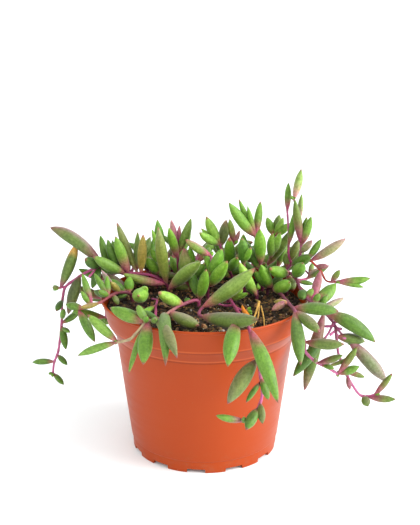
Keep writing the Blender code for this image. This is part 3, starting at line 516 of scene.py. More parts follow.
FIBRE_PARTS = 5
FIBRE_LIFT = 0.35
FIBRE_ARCH = 0.5
FIBRE_RADIUS = (0.1, 0.24)
FIBRE_TAPER = 0.6
FIBRE_SIDES = 5
STRAND_GRAIN = 50
# Pale pieces that stand out, as x, y, size and how pale.
PALE_CHIPS = ((10, -43, 2.2, 0.7), (-8, -30, 1.6, 0.5), (26, -36, 1.8, 0.6), (-30, -28, 1.5, 0.5))
# Dry roots that lie across the others, as points, radius and how pale.
DRY_ROOTS = (
    (((31, -17, 95), (29, -24, 91), (27, -31, 89), (27, -38, 88)), 0.75, 1.0),
    (((31, -18, 94), (30, -28, 90), (28, -36, 88.5)), 0.5, 0.9),
    (((32, -19, 93), (33, -28, 90), (33, -38, 88)), 0.5, 0.95),
)
ROOT_STEP = 0.8
ROOT_TAPER = 0.5
ROOT_SIDES = 7
DRY_LEAF_STEP = 0.6
DRY_LEAF_SIDES = 9
DRY_LEAF_RADIUS = 0.25
DRY_LEAF_SWELL = 1.1
DRY_LEAF_LIGHT = 0.75
DRY_LEAF_PALING = 0.35
DRY_LEAF_ROUTE = ((21, -26, 96), (22, -28, 93.5), (24, -30, 91.5), (26, -32, 89.5))

# Fine stems: their round ends, their curves and how they swell and brown at leaves and scars.
TUBE_START_BULGE = 0.3
TUBE_END_BULGE = 0.5
GRAIN_REACH = 400
STEM_SLIMNESS = 0.92
STEM_TENSION = 0.5
STEM_STEP = 1.1
STEM_BLOTCH = 0.14
STEM_BLOTCH_SCALE = 0.25
SCAR_SPACING = 7.0
SCAR_NARROWNESS = 1.3
KNOT_REACH = 0.16
KNOT_SWELL = 0.26
KNOT_BROWN = 0.35
# Fine leaves: how they differ from each other, their channel, where their first and last rings lie, their
# point and their blotches.
UPRIGHT_LEAF = 0.12
LEAF_ROLL_DEG = 20
LEAF_LIGHT = (0.92, 1.08)
LEAF_WARMTH = 0.04
LEAF_SHARPNESS = (0.1, 0.5)
LEAF_UNEVEN = 0.05
LEAF_UNEVEN_SCALE = 0.12
LEAF_CHANNEL = 0.1
CHANNEL_POWER = 0.7
CHANNEL_NARROWNESS = 6
FIRST_RING = 0.6
LAST_RING = 0.1
LEAF_POINT_START = 0.72
LEAF_POINT_LENGTH = 0.5
PATCH_REACH = 90
BLOTCH_SCALE = 0.2
BLOTCH_LIGHT = 0.09
BLOTCH_SHIFT = 0.06
# Stems under the crown get painted shade, darker by up to this share.
STEM_SHADE = 0.5
STEM_SHADE_TOP = 106.0
STEM_SHADE_DEPTH = 14.0
STEM_SHADE_EDGE = 52.0
STEM_SHADE_FRONT = 8
# Leaves in the middle of the crown are lightened by painted light against those outside, by up to this
# share.
PAINTED_CROWN_LIGHT = 0.92
# They are also plumper, by up to this share.
CROWN_PLUMPNESS = 0.1
CROWN_TOP = 152.0
CROWN_DEPTH = 38.0
CROWN_EDGE = 62.0
CROWN_FADE = 22.0
# Side stems that end under other leaves have no young leaves at their end.
BUDLESS_STEMS = (("left_rim", 1), ("left_trailing", 2), ("front_left", 1), ("right_crown", 1))

# The smallest leaves at a stem's end.
BUD_LEAVES = 3
BUD_SPREAD = 0.7
BUD_RISE = 0.3
BUD_SINK = 0.3
BUD_LENGTH = (2.6, 4.6)
BUD_GIRTH = (1.5, 2.1)
BUD_BOW = 0.1

# Short stubs on the first stem of a spray, as the way each points, its length and its station. Along a
# stub, its profile has the share of its length, its swell and its light.
STUBS = {
    "right_trailing": (
        ((0.3, -0.3, 0.9), 5.0, 7.8),
        ((0.9, -0.2, 0.3), 7.0, 8.0),
        ((-0.9, -0.3, 0.0), 5.5, 8.3),
        ((0.9, -0.1, -0.2), 4.5, 8.5),
        ((-0.9, -0.4, -0.3), 5.0, 8.8),
        ((0.8, -0.2, -0.5), 5.0, 9.1),
    ),
}
STUB_RADIUS = 0.95
STUB_BEND = 0.25
STUB_PROFILE = ((0.0, 1.0, 0.8), (0.25, 0.85, 0.95), (0.5, 0.8, 1.05), (0.75, 0.95, 1.1), (1.0, 0.7, 1.15))

# The noises in the materials, each with its scale, its detail and its roughness, and how far those of
# leaves and stems are drawn out.
GRAINS = {
    "pot_patches": (22.0, 3.0, 0.55),
    "pot_streaks": (9.0, 5.0, 0.7),
    "pot_splashes": (240.0, 6.0, 0.7),
    "pot_specks": (700.0, 2.0, 0.55),
    "pot_skin": (1600.0, 2.0, 0.55),
    "peat_clods": (190.0, 8.0, 0.72),
    "peat_flecks": (620.0, 3.0, 0.55),
    "litter": (900.0, 5.0, 0.7),
    "leaf_veins": (3.4, 3.0, 0.55),
    "leaf_mottle": (640.0, 4.0, 0.65),
    "leaf_specks": (900.0, 1.0, 0.55),
    "stem_ribs": (4.0, 3.0, 0.55),
    "paper": (60.0, 3.0, 0.55),
}
LEAF_VEIN_STRETCH = 0.16
STEM_RIB_STRETCH = 0.25
# A veil has the range of its noise and the share of the other colour that it gets to.
PATCH_VEIL = (0.3, 0.75, 0.22)
STREAK_VEIL = (0.62, 0.78, 0.22)
POT_SPECK_VEIL = (0.7, 0.76, 0.3)
CLOD_VEIL = (0.5, 0.72, 1.0)
FLECK_VEIL = (0.66, 0.76, 0.6)
LEAF_SPECK_VEIL = (0.77, 0.8, 0.55)
# A shading has the range of its noise and the tints for its low and its high end.
LITTER_SHADING = (0.3, 0.7, (0.5, 0.5, 0.5), (1.35, 1.3, 1.25))
VEIN_SHADING = (0.3, 0.7, (0.86, 0.88, 0.84), (1.12, 1.1, 1.14))
MOTTLE_SHADING = (0.38, 0.62, (0.76, 0.8, 0.62), (1.24, 1.19, 1.36))
RIB_SHADING = (0.3, 0.7, (0.72, 0.7, 0.74), (1.2, 1.16, 1.18))
PAPER_SHADING = (0.3, 0.7, (0.99, 0.99, 0.99), (1.0, 1.0, 1.0))
# Splashes and roughness have the range of their noise and the range that it becomes.
SPLASH_RANGE = (0.5, 0.7, 0.0, 0.35)
POT_ROUGHNESS = (0.35, 0.75, 0.34, 0.52)
PEAT_ROUGHNESS = (0.3, 0.7, 0.7, 0.98)
LEAF_ROUGHNESS = (0.3, 0.7, 0.42, 0.6)
STEM_ROUGHNESS = (0.3, 0.7, 0.36, 0.52)
# A relief has its strength and its height in metres.
POT_SKIN_RELIEF = (0.06, 0.0002)
POT_PATCH_RELIEF = (0.12, 0.0008)
PEAT_RELIEF = (0.9, 0.0012)
LITTER_RELIEF = (0.8, 0.0005)
VEIN_RELIEF = (0.28, 0.0005)
MOTTLE_RELIEF = (0.42, 0.0003)
RIB_RELIEF = (0.4, 0.0004)

# The floor, the two lights and the camera, in metres.
STAGE_NEAR = 1.2
STAGE_FAR = 0.9
STAGE_SWEEP = 0.5
STAGE_TOP = 2.2
STAGE_SIDE = 2.2
STAGE_STEPS = 12
LIGHT_AIM = Vector((0.0, 0.0, 0.07))
KEY_SIZE = 0.7
KEY_PLACE = (0.85, -0.25, 0.5)
FILL_SIZE = 0.8
FILL_PLACE = (-0.5, -0.9, 0.7)
CAMERA_PLACE = (0.0, -0.604, 0.307)
CAMERA_DIP_DEG = 17.82
CAMERA_SHIFT_X = 0.0105


def from_code(code):
    """Linear red, green and blue from a display colour code such as 7AA93C."""
    channels = [int(code[at : at + 2], 16) / 255 for at in (0, 2, 4)]
    return tuple(c / 12.92 if c <= 0.04045 else ((c + 0.055) / 1.055) ** 2.4 for c in channels)


def colour_property(name, description, code):
    return FloatVectorProperty(
        name=name,
        description=description,
        subtype="COLOR",
        size=3,
        min=0.0,
        max=1.0,
        default=from_code(code),
    )


def clamped(value):
    return min(1.0, max(0.0, value))


class PotSettings(bpy.types.PropertyGroup):
    """Sizes and colours of the moulded nursery pot."""

    wall: FloatProperty(
        name="Wall", description="Thickness of the moulded wall", unit="LENGTH", default=0.0012, min=0.0006
    )
    turn_steps: IntProperty(name="Turn Steps", description="Facets round the pot", default=180, min=24)
    plastic: colour_property("Plastic", "Terracotta-coloured plastic", "9B3806")
    worn: colour_property("Worn", "Plastic where handling has dulled it", "A24517")
    dust: colour_property("Dust", "Dried splashes of soil near the rim and foot", "7E5A42")
    # Painted shade in lines along the step under the rim band, standing in for the shade of its ledge.
    painted_step_shade: colour_property("Grime", "Dirt that gathers along the step under the rim band", "551C04")
    # Painted highlight in thin lines on the edges of the step under the rim band.
    painted_step_highlight: colour_property("Gloss", "Edge of the step under the rim band", "C8602E")


class SoilSettings(bpy.types.PropertyGroup):
    """What the potting mix is made of."""

    crumb_count: IntProperty(name="Crumbs", description="Peat crumbs on the surface", default=1500, min=0)
    chip_count: IntProperty(name="Bark Chips", description="Flat pieces of bark", default=110, min=0)
    fibre_count: IntProperty(name="Fibres", description="Loose plant fibres", default=150, min=0)
    grain_count: IntProperty(name="Pale Grains", description="Small mineral grains", default=130, min=0)
    crumb_size: FloatProperty(
        name="Crumb Size", description="Radius of the largest", unit="LENGTH", default=0.0016, min=0.0002
    )
    peat: colour_property("Peat", "Damp peat", "261D16")
    bark: colour_property("Bark", "Composted bark", "785C3C")
    straw: colour_property("Straw", "Dry fibres and old roots", "BA9248")
    grain: colour_property("Grain", "Mineral grains", "CCC6B6")
    dry_leaf: colour_property("Dry Leaf", "Withered leaf on the soil", "C87A20")


class FoliageSettings(bpy.types.PropertyGroup):
    """Fineness of the leaves and stems, and their colours."""

    leaf_rings: IntProperty(name="Leaf Rings", description="Rings along a leaf", default=18, min=6)
    leaf_sides: IntProperty(name="Leaf Sides", description="Facets round a leaf", default=16, min=6)
    stem_sides: IntProperty(name="Stem Sides", description="Facets round a stem", default=10, min=5)
    leaf_depth: FloatProperty(
        name="Leaf Depth", description="Thickness of a leaf over its width", default=0.96, min=0.4, max=1.0
    )
    fresh_green: colour_property("Fresh Green", "Young leaves in the light", "588021")
    lime_green: colour_property("Lime Green", "Palest young leaves", "66892F")
    mid_green: colour_property("Mid Green", "Grown leaves", "4A7018")
    dark_green: colour_property("Dark Green", "Leaves low in the plant", "385A16")
    shade_green: colour_property("Shade Green", "Grey-brown leaves in the shade", "485322")
    olive_green: colour_property("Olive Green", "Leaves that sun has dulled", "5F6A28")
    sage_green: colour_property("Sage Green", "Old leaves with a grey bloom", "546A26")
    grey_green: colour_property("Grey Green", "Bloom on purple leaves", "646B48")
    pale_green: colour_property("Pale Green", "Thin leaves against the light", "7E974C")
    bronze: colour_property("Bronze", "Leaves turning orange", "7C6B2B")
    plum: colour_property("Plum", "Leaves flushed purple", "8A505C")
    dusty_green: colour_property("Dusty Green", "Leaves between green and pink", "8C8A60")
    sun_flush: colour_property("Sun Flush", "Side of a leaf turned to the sun", "AC808C")
    rose_flush: colour_property("Rose Flush", "Root of a green leaf", "963E52")
    pink_flush: colour_property("Pink Flush", "Root of a pale leaf", "C07A88")
    magenta_flush: colour_property("Magenta Flush", "Root of a flushed leaf", "98365F")
    brown_flush: colour_property("Brown Flush", "Root or tip of an old leaf", "7A4C46")
    dry_straw: colour_property("Dry Straw", "Withered end of a leaf", "D09A48")
    tip_red: colour_property("Tip Red", "The point at a leaf's end", "74303A")
    cork: colour_property("Cork", "Corky specks", "A08463")
    magenta_stem: colour_property("Magenta Stem", "Stems in the light", "9E3C68")
    pink_stem: colour_property("Pink Stem", "Youngest stems", "BC6490")
    plum_stem: colour_property("Plum Stem", "Old stems by the soil", "743C50")
    coral_stem: colour_property("Coral Stem", "Stems reddened by sun", "A23F30")
    cream_stem: colour_property("Cream Stem", "A blanched stem", "A89B74")


class StageSettings(bpy.types.PropertyGroup):
    """Floor, light and camera."""

    floor: colour_property("Floor", "Pale floor and backdrop", "F6FAFB")
    key_power: FloatProperty(name="Key Light", description="Its power", unit="POWER", default=15.8)
    fill_power: FloatProperty(name="Fill Light", description="Its power", unit="POWER", default=3.0)
    sky: FloatProperty(name="Sky", description="Strength of the light from all round", default=1.25, min=0.0)
    lens: FloatProperty(name="Lens", description="Focal length", default=75.36, subtype="DISTANCE_CAMERA")


class Shape:
    """Points, faces, point colours and surface grain that become one mesh."""

    def __init__(self):
        self.points = []
        self.faces = []
        self.tints = []
        self.grain = []
        self.slots = []

    def add(self, points, faces, tints, grain, slot=0):
        first = len(self.points)
        self.points.extend(map(tuple, points))
        self.faces.extend(tuple(first + index for index in face) for face in faces)
        self.tints.extend(map(tuple, tints))
        self.grain.extend(map(tuple, grain))
        self.slots.extend([slot] * len(faces))

    def to_object(self, name, materials):
        mesh = bpy.data.meshes.new(name)
        mesh.from_pydata([Vector(point) * MM for point in self.points], [], self.faces)
        tint = mesh.attributes.new("tint", "FLOAT_COLOR", "POINT")
        colours = np.ones((len(self.points), 4), np.float32)
        colours[:, :3] = self.tints
        tint.data.foreach_set("color", colours.ravel())
        grain = mesh.attributes.new("grain", "FLOAT_VECTOR", "POINT")
        grain.data.foreach_set("vector", np.array(self.grain, np.float32).ravel())
        for material in materials:
            mesh.materials.append(material)
        mesh.polygons.foreach_set("material_index", self.slots)
        outward_faces(mesh)
        mesh.shade_smooth()
        return linked(name, mesh)


def outward_faces(mesh):
    shape = bmesh.new()
    shape.from_mesh(mesh)
    bmesh.ops.recalc_face_normals(shape, faces=shape.faces)
    shape.to_mesh(mesh)
    shape.free()


def tube_faces(rings, sides):
    """Faces round rings of points, closed by the single points before the first and after the last."""
    ahead = [(side + 1) % sides for side in range(sides)]
    last = 1 + (rings - 1) * sides
    faces = [(0, 1 + ahead[side], 1 + side) for side in range(sides)]
    for near in range(1, last, sides):
        far = near + sides
        faces += [(near + side, near + ahead[side], far + ahead[side], far + side) for side in range(sides)]
    return faces + [(last + sides, last + side, last + ahead[side]) for side in range(sides)]


def linked(name, mesh):
    obj = bpy.data.objects.new(name, mesh)
    bpy.context.scene.collection.objects.link(obj)
    return obj


def made_of(shape, name):
    """The object that a finished working mesh becomes."""
    mesh = bpy.data.meshes.new(name)
    shape.to_mesh(mesh)
    shape.free()
    return linked(name, mesh)


def applied(obj):
    """Replaces an object's mesh by the one that its modifiers make."""
    graph = bpy.context.evaluated_depsgraph_get()
    made = bpy.data.meshes.new_from_object(obj.evaluated_get(graph))
    obj.modifiers.clear()
    old = obj.data
    obj.data = made
    bpy.data.meshes.remove(old)


def placed(obj, slot, *nodes):
    """Joins a finished piece to the frame, in place of the nodes it stands for."""
    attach(obj, BODY)
    if nodes:
        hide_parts(*nodes)


def node(tree, kind, values, **settings):
    """A shader node with its settings, whose inputs are linked to sockets or set to values."""
    made = tree.nodes.new(kind)
    for key, value in settings.items():
        setattr(made, key, value)
    for key, value in values.items():
        if isinstance(value, bpy.types.NodeSocket):
            tree.links.new(value, made.inputs[key])
        else:
            made.inputs[key].default_value = value
    return made


def noise_of(tree, place, kind):
    """The noise of one of the kinds in GRAINS."""
    scale, detail, roughness = GRAINS[kind]
    values = {"Vector": place, "Scale": scale, "Detail": detail, "Roughness": roughness}
    return node(tree, "ShaderNodeTexNoise", values).outputs["Fac"]


def stretched(tree, place, scale):
    return node(tree, "ShaderNodeMapping", {"Vector": place, "Scale": scale}).outputs["Vector"]


def ranged(tree, value, low, high, to_low, to_high):
    """Maps low..high of a value to to_low..to_high, without going past either."""
    values = {"Value": value, "From Min": low, "From Max": high, "To Min": to_low, "To Max": to_high}
    return node(tree, "ShaderNodeMapRange", values, clamp=True).outputs["Result"]


def mixed(tree, share, first, second, blend="MIX"):
    """A colour mix, where share, first and second are sockets or values."""
    values = {0: share}
    for key, colour in ((6, first), (7, second)):
        values[key] = colour if isinstance(colour, bpy.types.NodeSocket) else (*colour, 1.0)
    return node(tree, "ShaderNodeMix", values, data_type="RGBA", blend_type=blend).outputs[2]


def veiled(tree, field, low, high, share, first, second):
    """The first colour, with up to a share of the second where a field goes from low to high."""
    return mixed(tree, ranged(tree, field, low, high, 0.0, share), first, second)


def shaded(tree, colour, field, low, high, dark, light):
    """A colour multiplied by dark where a field is low and by light where it is high."""
    return mixed(tree, 1.0, colour, veiled(tree, field, low, high, 1.0, dark, light), "MULTIPLY")


def multiplied(tree, first, second):
    return node(tree, "ShaderNodeMath", {0: first, 1: second}, operation="MULTIPLY").outputs[0]


def bumped(tree, height, strength, distance, after=None):
    """A relief by a height field, on top of another relief where one is given."""
    values = {"Height": height, "Strength": strength, "Distance": distance}
    if after is not None:
        values["Normal"] = after
    return node(tree, "ShaderNodeBump", values).outputs["Normal"]


def blank_material(name, **values):
    """A material with its shader, whose constant finish is set on the shader's own sockets."""
    material = bpy.data.materials.new(name)
    material.use_nodes = True
    shader = material.node_tree.nodes["Principled BSDF"]
    for key, value in values.items():
        shader.inputs[key.replace("_", " ").title().replace("Ior", "IOR")].default_value = value
    return material, material.node_tree, shader


def object_place(tree):
    return node(tree, "ShaderNodeTexCoord", {}).outputs["Object"]


def attribute(tree, name, output):
    return node(tree, "ShaderNodeAttribute", {}, attribute_name=name).outputs[output]


def lengthwise(tree, share):
    """The place in a leaf's or stem's own grain, drawn out along it."""
    return stretched(tree, attribute(tree, "grain", "Vector"), (1.0, 1.0, share))


def line_at(tree, height, centre, half, strength):
    """A soft line round the pot at a height in millimetres."""
    below = ranged(tree, height, (centre - half) * MM, centre * MM, 0.0, strength)
    return multiplied(tree, below, ranged(tree, height, centre * MM, (centre + half) * MM, 1.0, 0.0))


def finished(shader, tree, colour, relief=None, roughness=None):
    """Links a material's colour and, where it has them, its relief and uneven roughness."""
    for name, value in (("Base Color", colour), ("Normal", relief), ("Roughness", roughness)):
        if value is not None:
            tree.links.new(value, shader.inputs[name])


def pot_plastic(settings):
    """Moulded plastic with a faint orange-peel skin, dulled scuffs and dried splashes of soil."""
    material, tree, shader = blank_material("terracotta_plastic", specular_ior_level=0.2)
    place = object_place(tree)
    height = node(tree, "ShaderNodeSeparateXYZ", {0: place}).outputs["Z"]
    patches = noise_of(tree, place, "pot_patches")
    streaks = noise_of(tree, stretched(tree, place, (1.0, 1.0, POT_STREAK_STRETCH)), "pot_streaks")
    colour = veiled(tree, patches, *PATCH_VEIL, settings.plastic, settings.worn)
    colour = veiled(tree, streaks, *STREAK_VEIL, colour, settings.worn)
    near_foot = ranged(tree, height, 0.0, SPLASH_HEIGHT * MM, 1.0, 0.0)
    splashes = ranged(tree, noise_of(tree, place, "pot_splashes"), *SPLASH_RANGE)
    colour = mixed(tree, multiplied(tree, near_foot, splashes), colour, settings.dust)
    # Lines of painted shade and painted highlight round the step under the rim band.
    for level, half, strength, tint in POT_LINES:
        line = line_at(tree, height, level, half, strength)
        colour = mixed(tree, line, colour, getattr(settings, tint))
    colour = veiled(tree, noise_of(tree, place, "pot_specks"), *POT_SPECK_VEIL, colour, settings.dust)
    relief = bumped(tree, noise_of(tree, place, "pot_skin"), *POT_SKIN_RELIEF)
    relief = bumped(tree, patches, *POT_PATCH_RELIEF, relief)
    finished(shader, tree, colour, relief, ranged(tree, streaks, *POT_ROUGHNESS))
    return material


def peat(settings):
    """Damp dark peat with lighter crumbs and fibres of bark."""
    material, tree, shader = blank_material("damp_peat", specular_ior_level=0.3)
    place = object_place(tree)
    clods = noise_of(tree, place, "peat_clods")
    colour = veiled(tree, clods, *CLOD_VEIL, settings.peat, settings.bark)
    colour = veiled(tree, noise_of(tree, place, "peat_flecks"), *FLECK_VEIL, colour, settings.straw)
    roughness = ranged(tree, clods, *PEAT_ROUGHNESS)
    finished(shader, tree, colour, bumped(tree, clods, *PEAT_RELIEF), roughness)
    return material


def tinted_litter(name, roughness):
    """Crumbs, chips and fibres: the point colour, broken up by a fine grain."""
    material, tree, shader = blank_material(name, roughness=roughness, specular_ior_level=0.25)
    fine = noise_of(tree, object_place(tree), "litter")
    tint = attribute(tree, "tint", "Color")
    colour = shaded(tree, tint, fine, *LITTER_SHADING)
    finished(shader, tree, colour, bumped(tree, fine, *LITTER_RELIEF))
    return material


def leaf_skin(settings):
    """Waxy leaf: point colours, fine veins lengthwise, corky specks and light that seeps through."""
    material, tree, shader = blank_material(
        "leaf_skin",
        specular_ior_level=0.32,
        subsurface_weight=0.12,
        subsurface_scale=0.0016,
        subsurface_radius=(0.8, 1.0, 0.25),
        sheen_weight=0.12,
        sheen_roughness=0.45,
    )
    veins = noise_of(tree, lengthwise(tree, LEAF_VEIN_STRETCH), "leaf_veins")
    place = object_place(tree)
    mottle = noise_of(tree, place, "leaf_mottle")
    colour = attribute(tree, "tint", "Color")
    colour = shaded(tree, colour, veins, *VEIN_SHADING)
    colour = shaded(tree, colour, mottle, *MOTTLE_SHADING)
    colour = veiled(tree, noise_of(tree, place, "leaf_specks"), *LEAF_SPECK_VEIL, colour, settings.cork)
    relief = bumped(tree, veins, *VEIN_RELIEF)
    relief = bumped(tree, mottle, *MOTTLE_RELIEF, relief)
    finished(shader, tree, colour, relief, ranged(tree, mottle, *LEAF_ROUGHNESS))
    return material


def stem_skin():
    """Smooth young bark with faint lengthwise ribs."""
    material, tree, shader = blank_material(
        "stem_skin", specular_ior_level=0.3, subsurface_weight=0.1, subsurface_scale=0.001
    )
    ribs = noise_of(tree, lengthwise(tree, STEM_RIB_STRETCH), "stem_ribs")
    tint = attribute(tree, "tint", "Color")
    colour = shaded(tree, tint, ribs, *RIB_SHADING)
    roughness = ranged(tree, ribs, *STEM_ROUGHNESS)
    finished(shader, tree, colour, bumped(tree, ribs, *RIB_RELIEF), roughness)
    return material


def rim_arc(centre_radius, centre_z, size, start_deg, end_deg, steps):
    """Points of an arc in the pot's profile, as (radius, height)."""
    points = []
    for index in range(steps + 1):
        angle = math.radians(start_deg + (end_deg - start_deg) * index / steps)
        points.append((centre_radius + size * math.cos(angle), centre_z + size * math.sin(angle)))
    return points


def pot_profile(wall):
    """The pot's section from the inside of the floor over the rim to the underside."""
    lip_z = POT_HEIGHT - RIM_LIP
    inner_foot = FOOT_RING_TOP_RADIUS - FOOT_RING_STEP - wall
    fillet_start = inner_foot - FLOOR_FILLET
    profile = [(0.0, FLOOR_TOP_Z), (fillet_start, FLOOR_TOP_Z)]
    profile += rim_arc(fillet_start, FLOOR_TOP_Z + FLOOR_FILLET, FLOOR_FILLET, -90, -WALL_DRAFT_DEG, 4)
    profile += [
        (BODY_TOP_RADIUS - wall, BODY_TOP_Z + wall / 4),
        (RIM_BAND_FOOT_RADIUS - wall - INNER_LEDGE, RIM_BAND_FOOT_Z),
        (RIM_BAND_FOOT_RADIUS - wall, RIM_BAND_FOOT_Z + wall / 2),
    ]
    profile += rim_arc(RIM_RADIUS - wall / 2, POT_HEIGHT - wall / 2, wall / 2, 180, 0, 8)
    profile += rim_arc(RIM_RADIUS - LIP_ROUND, lip_z + LIP_ROUND / 4, LIP_ROUND, 0, -80, 3)
    profile.append((RIM_RADIUS - RIM_LIP / 2, lip_z - RIM_LIP / 2))
    for (radius, height), softened in OUTER_EDGES:
        profile += [(radius + out, height + up) for out, up in softened]
    profile += [
        (FOOT_RADIUS - FOOT_RING_WALL, 0.0),
        (FOOT_RADIUS - FOOT_RING_WALL, FLOOR_UNDER_Z),
        (0.0, FLOOR_UNDER_Z),
    ]
    return profile


def turned(name, profile, steps):
    """A profile of (radius, height) points in millimetres turned about the upright axis."""
    shape = bmesh.new()
    points = [shape.verts.new((radius * MM, 0.0, height * MM)) for radius, height in profile]
    for pair in zip(points, points[1:]):
        shape.edges.new(pair)
    obj = made_of(shape, name)
    screw = obj.modifiers.new("turn", "SCREW")
    screw.steps = screw.render_steps = steps
    screw.use_merge_vertices = True
    screw.merge_threshold = MERGE_DISTANCE
    applied(obj)
    outward_faces(obj.data)
    return obj


def foot_notches():
    """Boxes round the foot, a little wider below, that reach from below it to the notch height."""
    shape = bmesh.new()
    for index in range(NOTCH_COUNT):
        angle = math.radians(FIRST_NOTCH_DEG + index * 360.0 / NOTCH_COUNT)
        for vert in bmesh.ops.create_cube(shape, size=1.0)["verts"]:
            outward = vert.co.x * 3 * FOOT_RING_WALL + FOOT_RADIUS
            across = vert.co.y * NOTCH_WIDTH * (1 + (NOTCH_DRAFT if vert.co.z < 0 else -NOTCH_DRAFT))
            x = outward * math.cos(angle) - across * math.sin(angle)
            y = outward * math.sin(angle) + across * math.cos(angle)
            vert.co = Vector((x, y, vert.co.z * 2 * NOTCH_HEIGHT)) * MM
    return made_of(shape, "notches")


def drain_rods():
    """Upright rods where water drains through the floor."""
    shape = bmesh.new()
    places = [(0.0, 0.0)]
    for index in range(DRAIN_HOLE_COUNT):
        angle = 2 * math.pi * index / DRAIN_HOLE_COUNT
        places.append((DRAIN_HOLE_CIRCLE * math.cos(angle), DRAIN_HOLE_CIRCLE * math.sin(angle)))
    size = dict.fromkeys(("radius1", "radius2"), DRAIN_HOLE_RADIUS * MM)
    size["depth"] = 2 * FLOOR_TOP_Z * MM
    for x, y in places:
        rod = bmesh.ops.create_cone(shape, cap_ends=True, segments=DRAIN_HOLE_SIDES, **size)["verts"]
        bmesh.ops.translate(shape, verts=rod, vec=Vector((x, y, FLOOR_TOP_Z)) * MM)
    return made_of(shape, "drains")


def cut_away(obj, cutter):
    boolean = obj.modifiers.new("cut", "BOOLEAN")
    boolean.operation = "DIFFERENCE"
    boolean.object = cutter
    applied(obj)
    bpy.data.objects.remove(cutter, do_unlink=True)


def make_pot(settings):
    """The moulded pot with its foot notches and drain holes."""
    pot = turned("nursery_pot", pot_profile(settings.wall / MM), settings.turn_steps)
    cut_away(pot, foot_notches())
    cut_away(pot, drain_rods())
    pot.data.materials.clear()
    pot.data.materials.append(pot_plastic(settings))
    pot.data.shade_smooth()
    pot.data.set_sharp_from_angle(angle=math.radians(SHARP_EDGE_DEG))
    placed(pot, "terracotta_plastic", "pot")


def soil_bump(x, y):
    """How far the soil stands above its mean level at a place."""
    short = math.sin(x / SOIL_WAVE_X + SOIL_WAVE_PHASE) * math.cos(y / SOIL_WAVE_Y)
    long = math.sin(x / SOIL_LONG_WAVE_X - y / SOIL_LONG_WAVE_Y)
    return SOIL_BUMP * (short + SOIL_LONG_WAVE_SHARE * long) / (1 + SOIL_LONG_WAVE_SHARE)


def wall_inner_radius(z):
    share = (z - RIM_BAND_FOOT_Z) / (POT_HEIGHT - RIM_BAND_FOOT_Z)
    return RIM_BAND_FOOT_RADIUS - WALL + share * (RIM_RADIUS - RIM_BAND_FOOT_RADIUS)


def soil_height(x, y):
    """The level of the fine soil: the waves of the plain one, roughened and a little higher at the wall."""
    radius = math.hypot(x, y)
    rough = noise.fractal(Vector((x, y, 0)) * SOIL_ROUGH_SCALE, *SOIL_FRACTAL)
    edge = SOIL_BANK * max(0.0, (radius - SOIL_BANK_START) / SOIL_BANK_RUN) ** 2
    waves = soil_bump(x, y) * min(1.0, (SOIL_WAVE_END - radius) / SOIL_WAVE_FADE)
    return SOIL_TOP_Z + waves + SOIL_ROUGH * rough + edge


def make_soil(settings):
    """A round bed with a rough top that fills the pot."""
    edge = wall_inner_radius(SOIL_TOP_Z) - 2 * PIECE_GAP
    inner_foot = FOOT_RING_TOP_RADIUS - FOOT_RING_STEP - WALL
    rings = [(edge * ring / SOIL_RINGS, None) for ring in range(1, SOIL_RINGS + 1)]
    rings += [
        (RIM_BAND_FOOT_RADIUS - WALL - 2 * PIECE_GAP, RIM_BAND_FOOT_Z + WALL / 2),
        (BODY_TOP_RADIUS - WALL - 2 * PIECE_GAP, BODY_TOP_Z + WALL / 4),
        (inner_foot - 2 * PIECE_GAP, FLOOR_TOP_Z + PIECE_GAP),
    ]
    points = [(0.0, 0.0, soil_height(0.0, 0.0))]
    for radius, height in rings:
        for step in range(SOIL_SIDES):
            angle = 2 * math.pi * step / SOIL_SIDES
            x, y = radius * math.cos(angle), radius * math.sin(angle)
            points.append((x, y, soil_height(x, y) if height is None else height))
    points.append((0.0, 0.0, FLOOR_TOP_Z + PIECE_GAP))
    shape = Shape()
    shape.add(points, tube_faces(len(rings), SOIL_SIDES), [(0.0, 0.0, 0.0)] * len(points), points)
    placed(shape.to_object("peat_bed", [peat(settings)]), "potting_soil", "potting_soil")


def lump(shape, centre, size, turn, tint, draw, flatness=1.0):
    """An irregular lump: a cube's corners and face centres, each pushed in or out by chance."""
    corners = [Vector((x, y, z)) for x in (-1, 1) for y in (-1, 1) for z in (-1, 1)]
    middles = [Vector(axis) * side for axis in ((1, 0, 0), (0, 1, 0), (0, 0, 1)) for side in (-1, 1)]
    knobs = [corner * draw.uniform(*LUMP_CORNERS) for corner in corners]
    knobs += [middle * draw.uniform(*LUMP_MIDDLES) for middle in middles]
    points = []
    for knob in knobs:
        sized = Vector((knob.x * size.x, knob.y * size.y, knob.z * size.z * flatness))
        sized.rotate(turn)
        points.append(centre + sized)
    quads = ((0, 1, 3, 2), (4, 6, 7, 5), (0, 4, 5, 1), (2, 3, 7, 6), (0, 2, 6, 4), (1, 5, 7, 3))
    faces = []
    for middle, quad in enumerate(quads, start=len(corners)):
        faces += [(quad[i], quad[(i + 1) % 4], middle) for i in range(4)]
    shades = [tuple(c * draw.uniform(*LUMP_SHADES) for c in tint) for _ in points]
    shape.add(points, faces, shades, points)


def smooth_route(route, step):
    """Points along a smooth curve through a route, with the station of each point."""
    points = []
    for index, (start, end) in enumerate(zip(route, route[1:])):
        count = max(2, math.ceil((end - start).length / step))
        stations = [index + part / count for part in range(count)]
        points += [(smooth_along(route, station), station) for station in stations]
    return points + [(route[-1].copy(), float(len(route) - 1))]


def smooth_along(route, station):
    """The point at a station of the smooth curve through a route, which also heeds its neighbours."""
    last = len(route) - 1
    index = min(int(station), last - 1)
    start, end = route[index], route[index + 1]
    reach = (end - start).length
    slope_in, slope_out = (
        slope.normalized() * reach if slope.length > reach else slope
        for slope in (
            (end - route[max(index - 1, 0)]) * STEM_TENSION,
            (route[min(index + 2, last)] - start) * STEM_TENSION,
        )
    )
    t = station - index
    return (
        start * (2 * t**3 - 3 * t**2 + 1)
        + slope_in * (t**3 - 2 * t**2 + t)
        + end * (3 * t**2 - 2 * t**3)
        + slope_out * (t**3 - t**2)
    )


